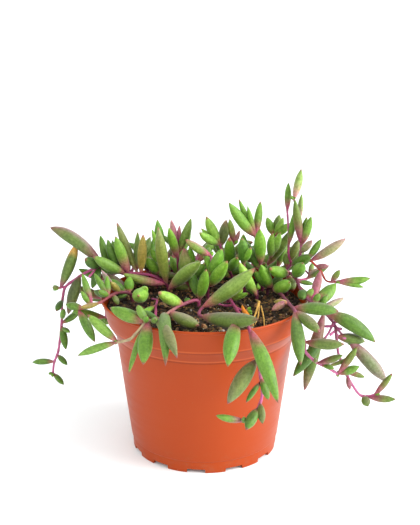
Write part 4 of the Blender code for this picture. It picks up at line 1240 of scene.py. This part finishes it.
def swept(shape, points, radii, sides, tints, grain_start, slot, draw):
    """A round tube along points, closed by short domes, with its grain running lengthwise."""
    last = len(points) - 1
    tangents = []
    for index in range(last + 1):
        tangents.append((points[min(index + 1, last)] - points[max(index - 1, 0)]).normalized())
    side = tangents[0].orthogonal().normalized()
    travelled = grain_start
    turn_start = draw.uniform(0, 2 * math.pi)
    all_points = [points[0] - tangents[0] * radii[0] * TUBE_START_BULGE]
    all_tints = [tints[0]]
    all_grain = [(0.0, 0.0, travelled)]
    for index, (point, tangent) in enumerate(zip(points, tangents)):
        side = (side - tangent * side.dot(tangent)).normalized()
        up = tangent.cross(side)
        if index:
            travelled += (point - points[index - 1]).length
        for step in range(sides):
            angle = 2 * math.pi * step / sides
            all_points.append(point + (side * math.cos(angle) + up * math.sin(angle)) * radii[index])
            all_tints.append(tints[index])
            all_grain.append((math.cos(angle + turn_start), math.sin(angle + turn_start), travelled))
    all_points.append(points[-1] + tangents[-1] * radii[-1] * TUBE_END_BULGE)
    all_tints.append(tints[-1])
    all_grain.append((0.0, 0.0, travelled))
    shape.add(all_points, tube_faces(last + 1, sides), all_tints, all_grain, slot)


def on_soil(x, y, lift=0.0):
    return Vector((x, y, soil_height(x, y) + lift))


def spot_in_pot(draw, edge):
    angle = draw.uniform(0, 2 * math.pi)
    radius = edge * math.sqrt(draw.random())
    return radius * math.cos(angle), radius * math.sin(angle)


def any_turn(draw, tilt=math.pi):
    return Euler((draw.uniform(-tilt, tilt), draw.uniform(-tilt, tilt), draw.uniform(0, 2 * math.pi)))


def uneven(size, draw):
    """A box about as wide, deep and high as a size."""
    return Vector([size * draw.uniform(*SIZE_SPREAD) for _ in range(3)])


def make_crumbs(settings):
    """Peat crumbs, bark chips and pale grains strewn by a seeded draw."""
    draw = random.Random(CRUMB_SEED)
    shape = Shape()
    bark, grain = Vector(settings.bark), Vector(settings.grain)
    for _ in range(settings.crumb_count):
        x, y = spot_in_pot(draw, CRUMB_EDGE)
        size = settings.crumb_size / MM * draw.uniform(*CRUMB_SHARE) ** CRUMB_SIZE_POWER
        tint = Vector(settings.peat).lerp(bark * BRIGHT_BARK, draw.random() ** BARK_RARITY)
        lump(shape, on_soil(x, y, size * CRUMB_LIFT), uneven(size, draw), any_turn(draw), tint, draw)
    for _ in range(settings.chip_count):
        x, y = spot_in_pot(draw, LITTER_EDGE)
        size = draw.uniform(*CHIP_LENGTH)
        tint = bark * draw.uniform(*CHIP_LIGHT)
        box = Vector((size, size * draw.uniform(*CHIP_WIDTH), size * draw.uniform(*CHIP_HEIGHT)))
        lump(shape, on_soil(x, y, CHIP_LIFT), box, any_turn(draw, CHIP_TILT), tint, draw)
    for _ in range(settings.grain_count):
        x, y = spot_in_pot(draw, LITTER_EDGE)
        size = draw.uniform(*GRAIN_SIZE)
        box = uneven(size, draw)
        tint = grain * draw.uniform(*GRAIN_LIGHT)
        lump(shape, on_soil(x, y, size * GRAIN_LIFT), box, any_turn(draw), tint, draw, GRAIN_FLATNESS)
    for x, y, size, share in PALE_CHIPS:
        box = Vector([size * part for part in PALE_CHIP_SHARES])
        turn = any_turn(draw, PALE_CHIP_TILT)
        lump(shape, on_soil(x, y, size * PALE_CHIP_LIFT), box, turn, bark.lerp(grain, share), draw)
    crumbs = shape.to_object("crumbs_and_chips", [tinted_litter("crumb_and_bark", 0.9)])
    crumbs.data.shade_flat()
    placed(crumbs, "potting_soil")


def add_strand(shape, route, radius, taper, sides, share, settings, draw):
    """A thin fibre or root that tapers along its route, the paler the larger its share of straw."""
    count = len(route)
    tint = Vector(settings.bark).lerp(Vector(settings.straw), share)
    radii = [radius * (1 - taper * part / count) for part in range(count)]
    swept(shape, route, radii, sides, [tint] * count, draw.uniform(0, STRAND_GRAIN), 0, draw)


def make_fibres(settings):
    """Thin fibres and dry roots that lie on the soil, and one withered leaf."""
    draw = random.Random(FIBRE_SEED)
    shape = Shape()
    for _ in range(settings.fibre_count):
        x, y = spot_in_pot(draw, FIBRE_SPREAD)
        heading = draw.uniform(0, 2 * math.pi)
        reach = draw.uniform(*FIBRE_LENGTH)
        bend = draw.uniform(-FIBRE_BEND, FIBRE_BEND)
        route = []
        for part in range(FIBRE_PARTS + 1):
            x += reach / FIBRE_PARTS * math.cos(heading)
            y += reach / FIBRE_PARTS * math.sin(heading)
            heading += bend / FIBRE_PARTS
            if math.hypot(x, y) < FIBRE_EDGE:
                lift = FIBRE_LIFT + FIBRE_ARCH * math.sin(math.pi * part / FIBRE_PARTS)
                route.append(on_soil(x, y, lift))
        if len(route) >= 3:
            share = draw.random()
            radius = draw.uniform(*FIBRE_RADIUS)
            add_strand(shape, route, radius, FIBRE_TAPER, FIBRE_SIDES, share, settings, draw)
    for points, radius, share in DRY_ROOTS:
        route = [point for point, _ in smooth_route([Vector(point) for point in points], ROOT_STEP)]
        add_strand(shape, route, radius, ROOT_TAPER, ROOT_SIDES, share, settings, draw)
    leaf = [Vector(point) for point in DRY_LEAF_ROUTE]
    route = [point for point, _ in smooth_route(leaf, DRY_LEAF_STEP)]
    count = len(route)
    swells = [math.sin(math.pi * (part + 0.5) / count) for part in range(count)]
    radii = [DRY_LEAF_RADIUS + DRY_LEAF_SWELL * swell for swell in swells]
    lights = [DRY_LEAF_LIGHT + DRY_LEAF_PALING * part / count for part in range(count)]
    tints = [Vector(settings.dry_leaf) * light for light in lights]
    swept(shape, route, radii, DRY_LEAF_SIDES, tints, 0.0, 0, draw)
    fibres = shape.to_object("fibres_and_dry_roots", [tinted_litter("dry_fibre", 0.8)])
    placed(fibres, "potting_soil")


def along(route, station):
    """The point of a route at a station, where whole numbers are the route's own points."""
    index = min(int(station), len(route) - 2)
    return route[index].lerp(route[index + 1], station - index)


def leaf_point(base, control, tip, share):
    """A point of the leaf's axis, which is a parabola from base to tip."""
    return base * (1 - share) ** 2 + control * 2 * share * (1 - share) + tip * share**2


def leaf_fullness(share):
    """The leaf's radius along it as a share of its largest: a spindle with a pointed tip."""
    return math.sin(math.pi * share**LEAF_FULLEST) ** LEAF_PLUMPNESS if 0 < share < 1 else 0.0


def leaf_radius(girth, share):
    radius = leaf_fullness(share) * girth / 2
    root = min(LEAF_ROOT_RADIUS, girth / 3)
    return max(radius, root) if share < LEAF_ROOT_SHARE else radius


def leaf_control(base, tip, bow):
    """The parabola's middle control point, which stands twice as far off the chord as the leaf."""
    return base.lerp(tip, 0.5) + Vector((0, 0, 2 * bow))


def natural_bow(base, tip):
    """A rising leaf curls up at its tip, and a hanging one is arched."""
    chord = tip - base
    return -LEAF_CURL * chord.length if chord.z > 0 else LEAF_CURL * chord.length


def leaf_balls(leaf):
    """Rows of x, y, z and radius along a leaf, clear of its root."""
    base, control, tip, girth = leaf
    rows = []
    for index in range(1, LEAF_SAMPLES + 1):
        share = index / LEAF_SAMPLES
        point = leaf_point(base, control, tip, share)
        rows.append((*point, leaf_radius(girth, share)))
    return np.array(rows)


def stem_radius(index):
    return STEM_RADIUS if index == 0 else TWIG_RADIUS


def stem_balls(route, radius):
    rows = []
    for start, end in zip(route, route[1:]):
        steps = max(2, math.ceil((end - start).length / STEM_SAMPLE_STEP))
        rows += [(*start.lerp(end, index / steps), radius) for index in range(steps + 1)]
    return np.array(rows)


def all_stem_balls(stems):
    rows = [stem_balls(route, stem_radius(index)) for index, (route, _) in enumerate(stems)]
    return np.concatenate(rows)


def gap_to_pot(balls):
    """The least gap between balls and the pot's wall, as a distance in the (radius, height) plane."""
    middle = [
        (RIM_RADIUS - WALL / 2, POT_HEIGHT - WALL / 2),
        (RIM_BAND_FOOT_RADIUS - WALL / 2, RIM_BAND_FOOT_Z),
        (BODY_TOP_RADIUS - WALL / 2, BODY_TOP_Z),
        (FOOT_RADIUS - WALL / 2, 0.0),
    ]
    places = np.stack([np.hypot(balls[:, 0], balls[:, 1]), balls[:, 2]], axis=1)
    least = np.inf
    for start, end in zip(np.array(middle), np.array(middle[1:])):
        run = end - start
        share = np.clip((places - start) @ run / (run @ run), 0, 1)
        apart = np.linalg.norm(places - start - share[:, None] * run, axis=1)
        least = min(least, (apart - balls[:, 3]).min() - WALL * WALL_SHARE)
    return least


def gap_to_soil(balls):
    inside = balls[np.hypot(balls[:, 0], balls[:, 1]) < RIM_RADIUS]
    if not len(inside):
        return np.inf
    return (inside[:, 2] - inside[:, 3]).min() - SOIL_TOP_Z - SOIL_BUMP


def gap_to_others(balls, others):
    if not len(others):
        return np.inf
    apart = np.linalg.norm(balls[:, None, :3] - others[None, :, :3], axis=2)
    return (apart - balls[:, None, 3] - others[None, :, 3]).min()


def bend_cost(way):
    shrink, arch, lift, swing = way
    return SHRINK_COST * (1 - shrink) + ARCH_COST * arch + LIFT_COST * lift + abs(swing)


def bend_options():
    """Ways to bend a leaf, the least first."""
    return sorted(itertools.product(SHRINKS, ARCHES, LIFTS, SWINGS), key=bend_cost)


def clear_leaf(base, tip, girth, bow, others, options):
    """The leaf with the least bend that keeps it clear of all else, or None."""
    for shrink, arch, lift, swing in options:
        moved = base.lerp(tip, shrink) + SWING_DIRECTION * swing + Vector((0, 0, lift))
        leaf = (base, leaf_control(base, moved, bow + arch), moved, girth * shrink)
        balls = leaf_balls(leaf)
        if gap_to_pot(balls) < CLEARANCE or gap_to_soil(balls) < CLEARANCE:
            continue
        if gap_to_others(balls, others) >= CLEARANCE:
            return leaf
    return None


def back_spray(heading_deg, draw):
    """One hanging stem on the far side, with leaves to its left and right by turns."""
    heading = math.radians(heading_deg)
    outward = Vector((math.cos(heading), math.sin(heading), 0))
    aside = Vector((-math.sin(heading), math.cos(heading), 0))
    drop = 1 + draw.uniform(-BACK_DROP_SPREAD, BACK_DROP_SPREAD)
    sway = draw.uniform(-BACK_SWAY, BACK_SWAY)
    route = []
    for index, (radius, height) in enumerate(BACK_ROUTE):
        lowered = height if height > POT_HEIGHT else POT_HEIGHT - (POT_HEIGHT - height) * drop
        share = index / (len(BACK_ROUTE) - 1)
        route.append(outward * radius + aside * sway * share**2 + Vector((0, 0, lowered)))
    leaves = []
    for index in range(BACK_LEAF_COUNT):
        span = len(route) - 1 - BACK_FIRST_LEAF
        station = BACK_FIRST_LEAF + index * span / (BACK_LEAF_COUNT - 1)
        side = 1 if index % 2 else -1
        length = draw.uniform(*BACK_LEAF_LENGTH)
        rise = draw.uniform(*(BACK_RISE_OVER_RIM if station < BACK_RIM_STATION else BACK_RISE_HANGING))
        way = outward * draw.uniform(*BACK_OUTWARD) + aside * side * draw.uniform(*BACK_ASIDE)
        way = (way + Vector((0, 0, rise))).normalized()
        tip = along(route, station) + way * length
        tip.y = min(tip.y, BACK_REACH_Y)
        tone = BACK_TONES[index % len(BACK_TONES)]
        leaves.append((station, tip, draw.uniform(*BACK_LEAF_GIRTH), tone))
    way = outward * RIM_LEAF_WAY[0] + aside * RIM_LEAF_WAY[1] + Vector((0, 0, RIM_LEAF_WAY[2]))
    tip = route[0] + way.normalized() * RIM_LEAF_LENGTH
    leaves.append((0.0, tip, RIM_LEAF_GIRTH, RIM_LEAF_TONE))
    return [(route, leaves)]


def all_sprays():
    """Every spray as named stems, with its points as vectors and a root piece below its first point."""
    sprays = {
        name: [([Vector(point) for point in route], leaves) for route, leaves in stems]
        for name, stems in SPRAYS.items()
    }
    draw = random.Random(BACK_SEED)
    for number, heading_deg in enumerate(BACK_HEADINGS_DEG, start=1):
        sprays[f"back_{number}"] = back_spray(heading_deg, draw)
    for stems in sprays.values():
        first = stems[0][0][0]
        buried = Vector((first.x, first.y, SOIL_TOP_Z - STEM_HOLE_DEPTH + 2 * PIECE_GAP))
        stems[0][0].insert(0, buried)
    return sprays


def laid_out(sprays):
    """Bends each leaf clear of the pot, the soil and every other spray, in the sprays' own order."""
    stem_sets = {name: all_stem_balls(stems) for name, stems in sprays.items()}
    leaf_sets = {name: np.empty((0, 4)) for name in sprays}
    options = bend_options()
    result = {}
    for name, stems in sprays.items():
        others = np.concatenate(
            [balls for other, balls in stem_sets.items() if other != name]
            + [balls for other, balls in leaf_sets.items() if other != name]
        )
        result[name] = []
        for index, (route, leaves) in enumerate(stems):
            kept = []
            for station, tip, girth, tone, *own_bow in leaves:
                station += 1 if index == 0 else 0
                base = along(route, station)
                bow = own_bow[0] if own_bow else natural_bow(base, Vector(tip))
                leaf = clear_leaf(base, Vector(tip), girth, bow, others, options)
                if leaf:
                    kept.append((station, leaf, tone))
                    leaf_sets[name] = np.concatenate([leaf_sets[name], leaf_balls(leaf)])
            result[name].append((route, kept))
    return result


def wide_way(chord, roll):
    """The leaf's wide direction, turned about its length by a small roll."""
    wide = chord.cross(Vector((0, 0, 1)))
    if wide.length < UPRIGHT_LEAF * chord.length:
        wide = Vector((1, 0, 0)) - chord * chord.x / chord.length_squared
    return Quaternion(chord.normalized(), roll) @ wide.normalized()


def shaded_leaf_colour(tone, share, height, sunny, brightness, palette):
    """The colour of a leaf at a share of its length, where height is -1 below and 1 on its upper side."""
    heart, flush, reach, end, blush = (palette[part] if isinstance(part, str) else part for part in tone)
    heart = heart.lerp(palette["sun_flush"], blush * max(0.0, sunny) ** SUN_POWER)
    ease = clamped((reach - share) / (FLUSH_SOFTNESS * reach))
    flush_share = FLUSH_STRENGTH * ease * ease * (3 - 2 * ease)
    end_share = max(0.0, (share - END_START) / END_RUN) ** END_POWER * END_STRENGTH
    if tone[3] == WITHERED:
        slanted = share - WITHERED_START + WITHERED_RUN * sunny
        end_share = WITHERED_STRENGTH * clamped(slanted / WITHERED_RUN)
    colour = heart.lerp(flush, flush_share).lerp(end, end_share)
    # Painted light where light would shine through the thin sides, and painted shade along the channel on
    # the upper side.
    edge = (1 - height * height) ** 2
    middle = max(0.0, height) * math.sin(math.pi * clamped(share))
    colour = colour.lerp(palette["pale_green"], PAINTED_EDGE_GLOW * edge) * (1 - CHANNEL_SHADE * middle)
    colour = colour.lerp(palette["tip_red"], POINT_RED * clamped((share - POINT_RED_START) / POINT_RED_RUN))
    return colour * brightness


def add_leaf(shape, leaf, tone, smooth_base, settings, palette, draw):
    """A fleshy spindle with a shallow channel on its upper side and a fine point."""
    _, control, tip, girth = leaf
    rings, sides = settings.leaf_rings, settings.leaf_sides
    chord = tip - smooth_base
    length = chord.length
    wide = wide_way(chord, math.radians(draw.uniform(-LEAF_ROLL_DEG, LEAF_ROLL_DEG)))
    grain_start = draw.uniform(0, GRAIN_REACH)
    sheltered = clamped((CROWN_EDGE - math.hypot(tip.x, tip.y)) / CROWN_FADE)
    sheltered *= clamped((CROWN_TOP - tip.z) / CROWN_DEPTH)
    # Painted light lightens leaves that lie inside and low in the crown.
    brightness = draw.uniform(*LEAF_LIGHT) * (1 + PAINTED_CROWN_LIGHT * sheltered)
    girth *= 1 + CROWN_PLUMPNESS * sheltered
    warm = draw.uniform(-LEAF_WARMTH, LEAF_WARMTH)
    sharpness = draw.uniform(*LEAF_SHARPNESS)
    patch = Vector([draw.uniform(0, PATCH_REACH) for _ in range(3)])
    points = [smooth_base.copy()]
    tints = [shaded_leaf_colour(tone, 0.0, 0.0, 0.0, brightness, palette)]
    grain = [(0.0, 0.0, grain_start)]
    for ring in range(rings):
        share = 0.5 - 0.5 * math.cos(math.pi * (ring + FIRST_RING) / (rings + LAST_RING))
        centre = leaf_point(smooth_base, control, tip, share)
        tangent = (control - smooth_base) * 2 * (1 - share) + (tip - control) * 2 * share
        tangent.normalize()
        across = (wide - tangent * wide.dot(tangent)).normalized()
        above = across.cross(tangent)
        near_tip = max(0.0, (share - LEAF_POINT_START) / (1 - LEAF_POINT_START))
        radius = leaf_radius(girth, share) * (1 - sharpness * near_tip**2)
        swell = 1 + LEAF_UNEVEN * noise.noise(patch + centre * LEAF_UNEVEN_SCALE)
        channel = LEAF_CHANNEL * math.sin(math.pi * share) ** CHANNEL_POWER
        for side in range(sides):
            angle = 2 * math.pi * (side + 0.5) / sides
            height = math.sin(angle)
            depth = settings.leaf_depth * (1 - channel * max(0.0, height) ** CHANNEL_NARROWNESS)
            spot = across * math.cos(angle) + above * height * depth
            points.append(centre + spot * radius * swell)
            blotch = noise.noise(patch + points[-1] * BLOTCH_SCALE)
            sunny = (across * math.cos(angle) + above * height).dot(SUN_WAY)
            light = brightness * (1 + BLOTCH_LIGHT * blotch)
            colour = shaded_leaf_colour(tone, share + BLOTCH_SHIFT * blotch, height, sunny, light, palette)
            tints.append(Vector((colour.x * (1 + warm), colour.y, colour.z * (1 - warm))))
            grain.append((math.cos(angle), height, grain_start + share * length / 3))
    points.append(tip + (tip - control).normalized() * LEAF_POINT_LENGTH)
    tints.append(palette["tip_red"])
    grain.append((0.0, 0.0, grain_start + length / 3))
    shape.add(points, tube_faces(rings, sides), tints, grain)


def stem_light(point):
    """How much of its colour a stem keeps at a point under painted shade, which is less under the crown's
    leaves.
    """
    if math.hypot(point.x, point.y) > STEM_SHADE_EDGE:
        return 1.0
    low = clamped((STEM_SHADE_TOP - point.z) / STEM_SHADE_DEPTH)
    return 1 - STEM_SHADE * low * clamped(point.y / STEM_SHADE_FRONT)


def add_stem(shape, route, stations, radius, tone, settings, palette, draw):
    """A smooth stem that swells a little at each leaf and each scar that an old leaf has left."""
    last = len(route) - 1
    length = sum((end - start).length for start, end in zip(route, route[1:]))
    scars = [last * draw.uniform(0.0, 1.0) for _ in range(int(length / SCAR_SPACING))]
    start, end = palette[tone[0]], palette[tone[1]]
    points = []
    radii = []
    tints = []
    for point, station in smooth_route(route, STEM_STEP):
        taper = 1 - (1 - STEM_TIP_SHARE) * station / last
        knots = [abs(station - leaf) for leaf in stations]
        knots += [abs(station - scar) * SCAR_NARROWNESS for scar in scars]
        knot = math.exp(-((min(knots) / KNOT_REACH) ** 2)) if knots else 0.0
        points.append(point)
        radii.append(radius * STEM_SLIMNESS * taper * (1 + KNOT_SWELL * knot))
        colour = start.lerp(end, min(1.0, station / (last * tone[2])) ** 2)
        colour *= 1 + STEM_BLOTCH * noise.noise(point * STEM_BLOTCH_SCALE)
        # Painted shade darkens the stem under the crown's leaves.
        tints.append(colour.lerp(palette["brown_flush"], KNOT_BROWN * knot) * stem_light(point))
    swept(shape, points, radii, settings.stem_sides, tints, draw.uniform(0, GRAIN_REACH), 1, draw)


def add_bud(shape, route, tone, settings, palette, draw):
    """The smallest leaves, which unfold at a stem's growing end."""
    ahead = (route[-1] - route[-2]).normalized()
    for _ in range(BUD_LEAVES):
        aside = Vector([draw.uniform(-1, 1) for _ in range(3)])
        way = (ahead + aside * BUD_SPREAD + Vector((0, 0, BUD_RISE))).normalized()
        base = route[-1] - ahead * BUD_SINK
        tip = base + way * draw.uniform(*BUD_LENGTH)
        leaf = (base, leaf_control(base, tip, BUD_BOW), tip, draw.uniform(*BUD_GIRTH))
        add_leaf(shape, leaf, tone, base, settings, palette, draw)


def add_stubs(shape, name, route, settings, palette):
    """Short knotty stubs where leaves have dropped off."""
    draw = random.Random(name)
    for way, length, station in STUBS.get(name, ()):
        base = smooth_along(route, station)
        bend = Vector([draw.uniform(-STUB_BEND, STUB_BEND) for _ in range(3)])
        way = Vector(way).normalized()
        points = [base + (way + bend * share) * length * share for share, _, _ in STUB_PROFILE]
        radii = [STUB_RADIUS * swell for _, swell, _ in STUB_PROFILE]
        tints = [palette["pink_stem"] * light for _, _, light in STUB_PROFILE]
        swept(shape, points, radii, settings.stem_sides, tints, draw.uniform(0, GRAIN_REACH), 1, draw)


def foliage_palette(settings):
    """Every colour of the foliage by its name."""
    colours = [prop.identifier for prop in settings.bl_rna.properties if getattr(prop, "is_array", False)]
    return {name: Vector(getattr(settings, name)) for name in colours}


def make_spray(name, stems, settings, palette, skins):
    """One leafy stem with its side stems and leaves."""
    draw = random.Random(name)
    shape = Shape()
    for index, (route, leaves) in enumerate(stems):
        tone = STEM_TONES.get((name, index), DEFAULT_STEM_TONE)
        stations = [station for station, _, _ in leaves]
        add_stem(shape, route, stations, stem_radius(index), tone, settings, palette, draw)
        for station, leaf, leaf_tone in leaves:
            base = smooth_along(route, station)
            add_leaf(shape, leaf, LEAF_TONES[leaf_tone], base, settings, palette, draw)
        if (name, index) not in BUDLESS_STEMS:
            add_bud(shape, route, LEAF_TONES["fresh"], settings, palette, draw)
    add_stubs(shape, name, stems[0][0], settings, palette)
    placed(shape.to_object("leafy_" + name, skins), "succulent_foliage", "spray_" + name)


def white_stage(settings):
    """A floor that curves up into a backdrop behind the pot."""
    profile = [(-STAGE_NEAR, 0.0)]
    for index in range(STAGE_STEPS + 1):
        angle = math.pi / 2 * index / STAGE_STEPS
        profile.append((STAGE_FAR + STAGE_SWEEP * math.sin(angle), STAGE_SWEEP * (1 - math.cos(angle))))
    profile.append((STAGE_FAR + STAGE_SWEEP, STAGE_TOP))
    shape = bmesh.new()
    rows = [[shape.verts.new((x, y, z)) for x in (-STAGE_SIDE, STAGE_SIDE)] for y, z in profile]
    for near, far in zip(rows, rows[1:]):
        shape.faces.new((near[0], near[1], far[1], far[0]))
    floor = made_of(shape, "floor_and_backdrop")
    floor.data.shade_smooth()
    material, tree, shader = blank_material("pale_paper", roughness=0.9, specular_ior_level=0.1)
    fine = noise_of(tree, object_place(tree), "paper")
    finished(shader, tree, shaded(tree, settings.floor, fine, *PAPER_SHADING))
    floor.data.materials.append(material)


def area_light(name, power, size, place):
    """A square light that faces the middle of the plant."""
    light = bpy.data.lights.new(name, "AREA")
    light.energy = power
    light.size = size
    obj = bpy.data.objects.new(name, light)
    obj.location = place
    obj.rotation_euler = (LIGHT_AIM - Vector(place)).to_track_quat("-Z", "Y").to_euler()
    bpy.context.scene.collection.objects.link(obj)


def make_stage(settings):
    """The floor, the light from all round, two soft lights and the camera."""
    white_stage(settings)
    scene = bpy.context.scene
    scene.view_settings.view_transform = "Standard"
    world = bpy.data.worlds.new("soft_studio")
    world.use_nodes = True
    world.node_tree.nodes["Background"].inputs["Color"].default_value = (1.0, 1.0, 1.0, 1.0)
    world.node_tree.nodes["Background"].inputs["Strength"].default_value = settings.sky
    scene.world = world
    area_light("key", settings.key_power, KEY_SIZE, KEY_PLACE)
    area_light("fill", settings.fill_power, FILL_SIZE, FILL_PLACE)
    camera = bpy.data.objects.new("camera", bpy.data.cameras.new("camera"))
    camera.data.lens = settings.lens
    camera.data.shift_x = CAMERA_SHIFT_X
    camera.location = CAMERA_PLACE
    camera.rotation_euler = (math.radians(90 - CAMERA_DIP_DEG), 0.0, 0.0)
    scene.collection.objects.link(camera)
    scene.camera = camera


class SUCCULENT_OT_pot(bpy.types.Operator):
    """Make the moulded pot with its rim, foot ring, notches and drain holes"""

    bl_idname = "succulent.pot"
    bl_label = "Make Pot"

    def execute(self, context):
        make_pot(context.scene.succulent_pot)
        return {"FINISHED"}


class SUCCULENT_OT_soil(bpy.types.Operator):
    """Make the bed of potting mix and all that lies on it"""

    bl_idname = "succulent.soil"
    bl_label = "Make Soil"

    def execute(self, context):
        settings = context.scene.succulent_soil
        make_soil(settings)
        make_crumbs(settings)
        make_fibres(settings)
        return {"FINISHED"}


class SUCCULENT_OT_sprays(bpy.types.Operator):
    """Make every leafy stem of the plant"""

    bl_idname = "succulent.sprays"
    bl_label = "Make Leafy Stems"

    def execute(self, context):
        settings = context.scene.succulent_foliage
        palette = foliage_palette(settings)
        skins = [leaf_skin(settings), stem_skin()]
        for name, stems in laid_out(all_sprays()).items():
            make_spray(name, stems, settings, palette, skins)
        return {"FINISHED"}


class SUCCULENT_OT_stage(bpy.types.Operator):
    """Make the floor, the lights and the camera"""

    bl_idname = "succulent.stage"
    bl_label = "Make Stage"

    def execute(self, context):
        make_stage(context.scene.succulent_stage)
        return {"FINISHED"}


class SUCCULENT_PT_sidebar(bpy.types.Panel):
    bl_label = "Trailing Succulent"
    bl_idname = "SUCCULENT_PT_sidebar"
    bl_space_type = "VIEW_3D"
    bl_region_type = "UI"
    bl_category = "Succulent"

    def draw(self, context):
        for operator, settings in (
            ("succulent.pot", context.scene.succulent_pot),
            ("succulent.soil", context.scene.succulent_soil),
            ("succulent.sprays", context.scene.succulent_foliage),
            ("succulent.stage", context.scene.succulent_stage),
        ):
            box = self.layout.box()
            box.operator(operator)
            for name in settings.__annotations__:
                box.prop(settings, name)


SETTINGS = {
    "succulent_pot": PotSettings,
    "succulent_soil": SoilSettings,
    "succulent_foliage": FoliageSettings,
    "succulent_stage": StageSettings,
}
CLASSES = (
    *SETTINGS.values(),
    SUCCULENT_OT_pot,
    SUCCULENT_OT_soil,
    SUCCULENT_OT_sprays,
    SUCCULENT_OT_stage,
    SUCCULENT_PT_sidebar,
)


def register():
    for cls in CLASSES:
        bpy.utils.register_class(cls)
    for name, cls in SETTINGS.items():
        setattr(bpy.types.Scene, name, PointerProperty(type=cls))


def unregister():
    for name in SETTINGS:
        delattr(bpy.types.Scene, name)
    for cls in reversed(CLASSES):
        bpy.utils.unregister_class(cls)


def main():
    register()
    bpy.ops.succulent.pot()
    bpy.ops.succulent.soil()
    bpy.ops.succulent.sprays()
    bpy.ops.succulent.stage()


if __name__ == "__main__":
    main()
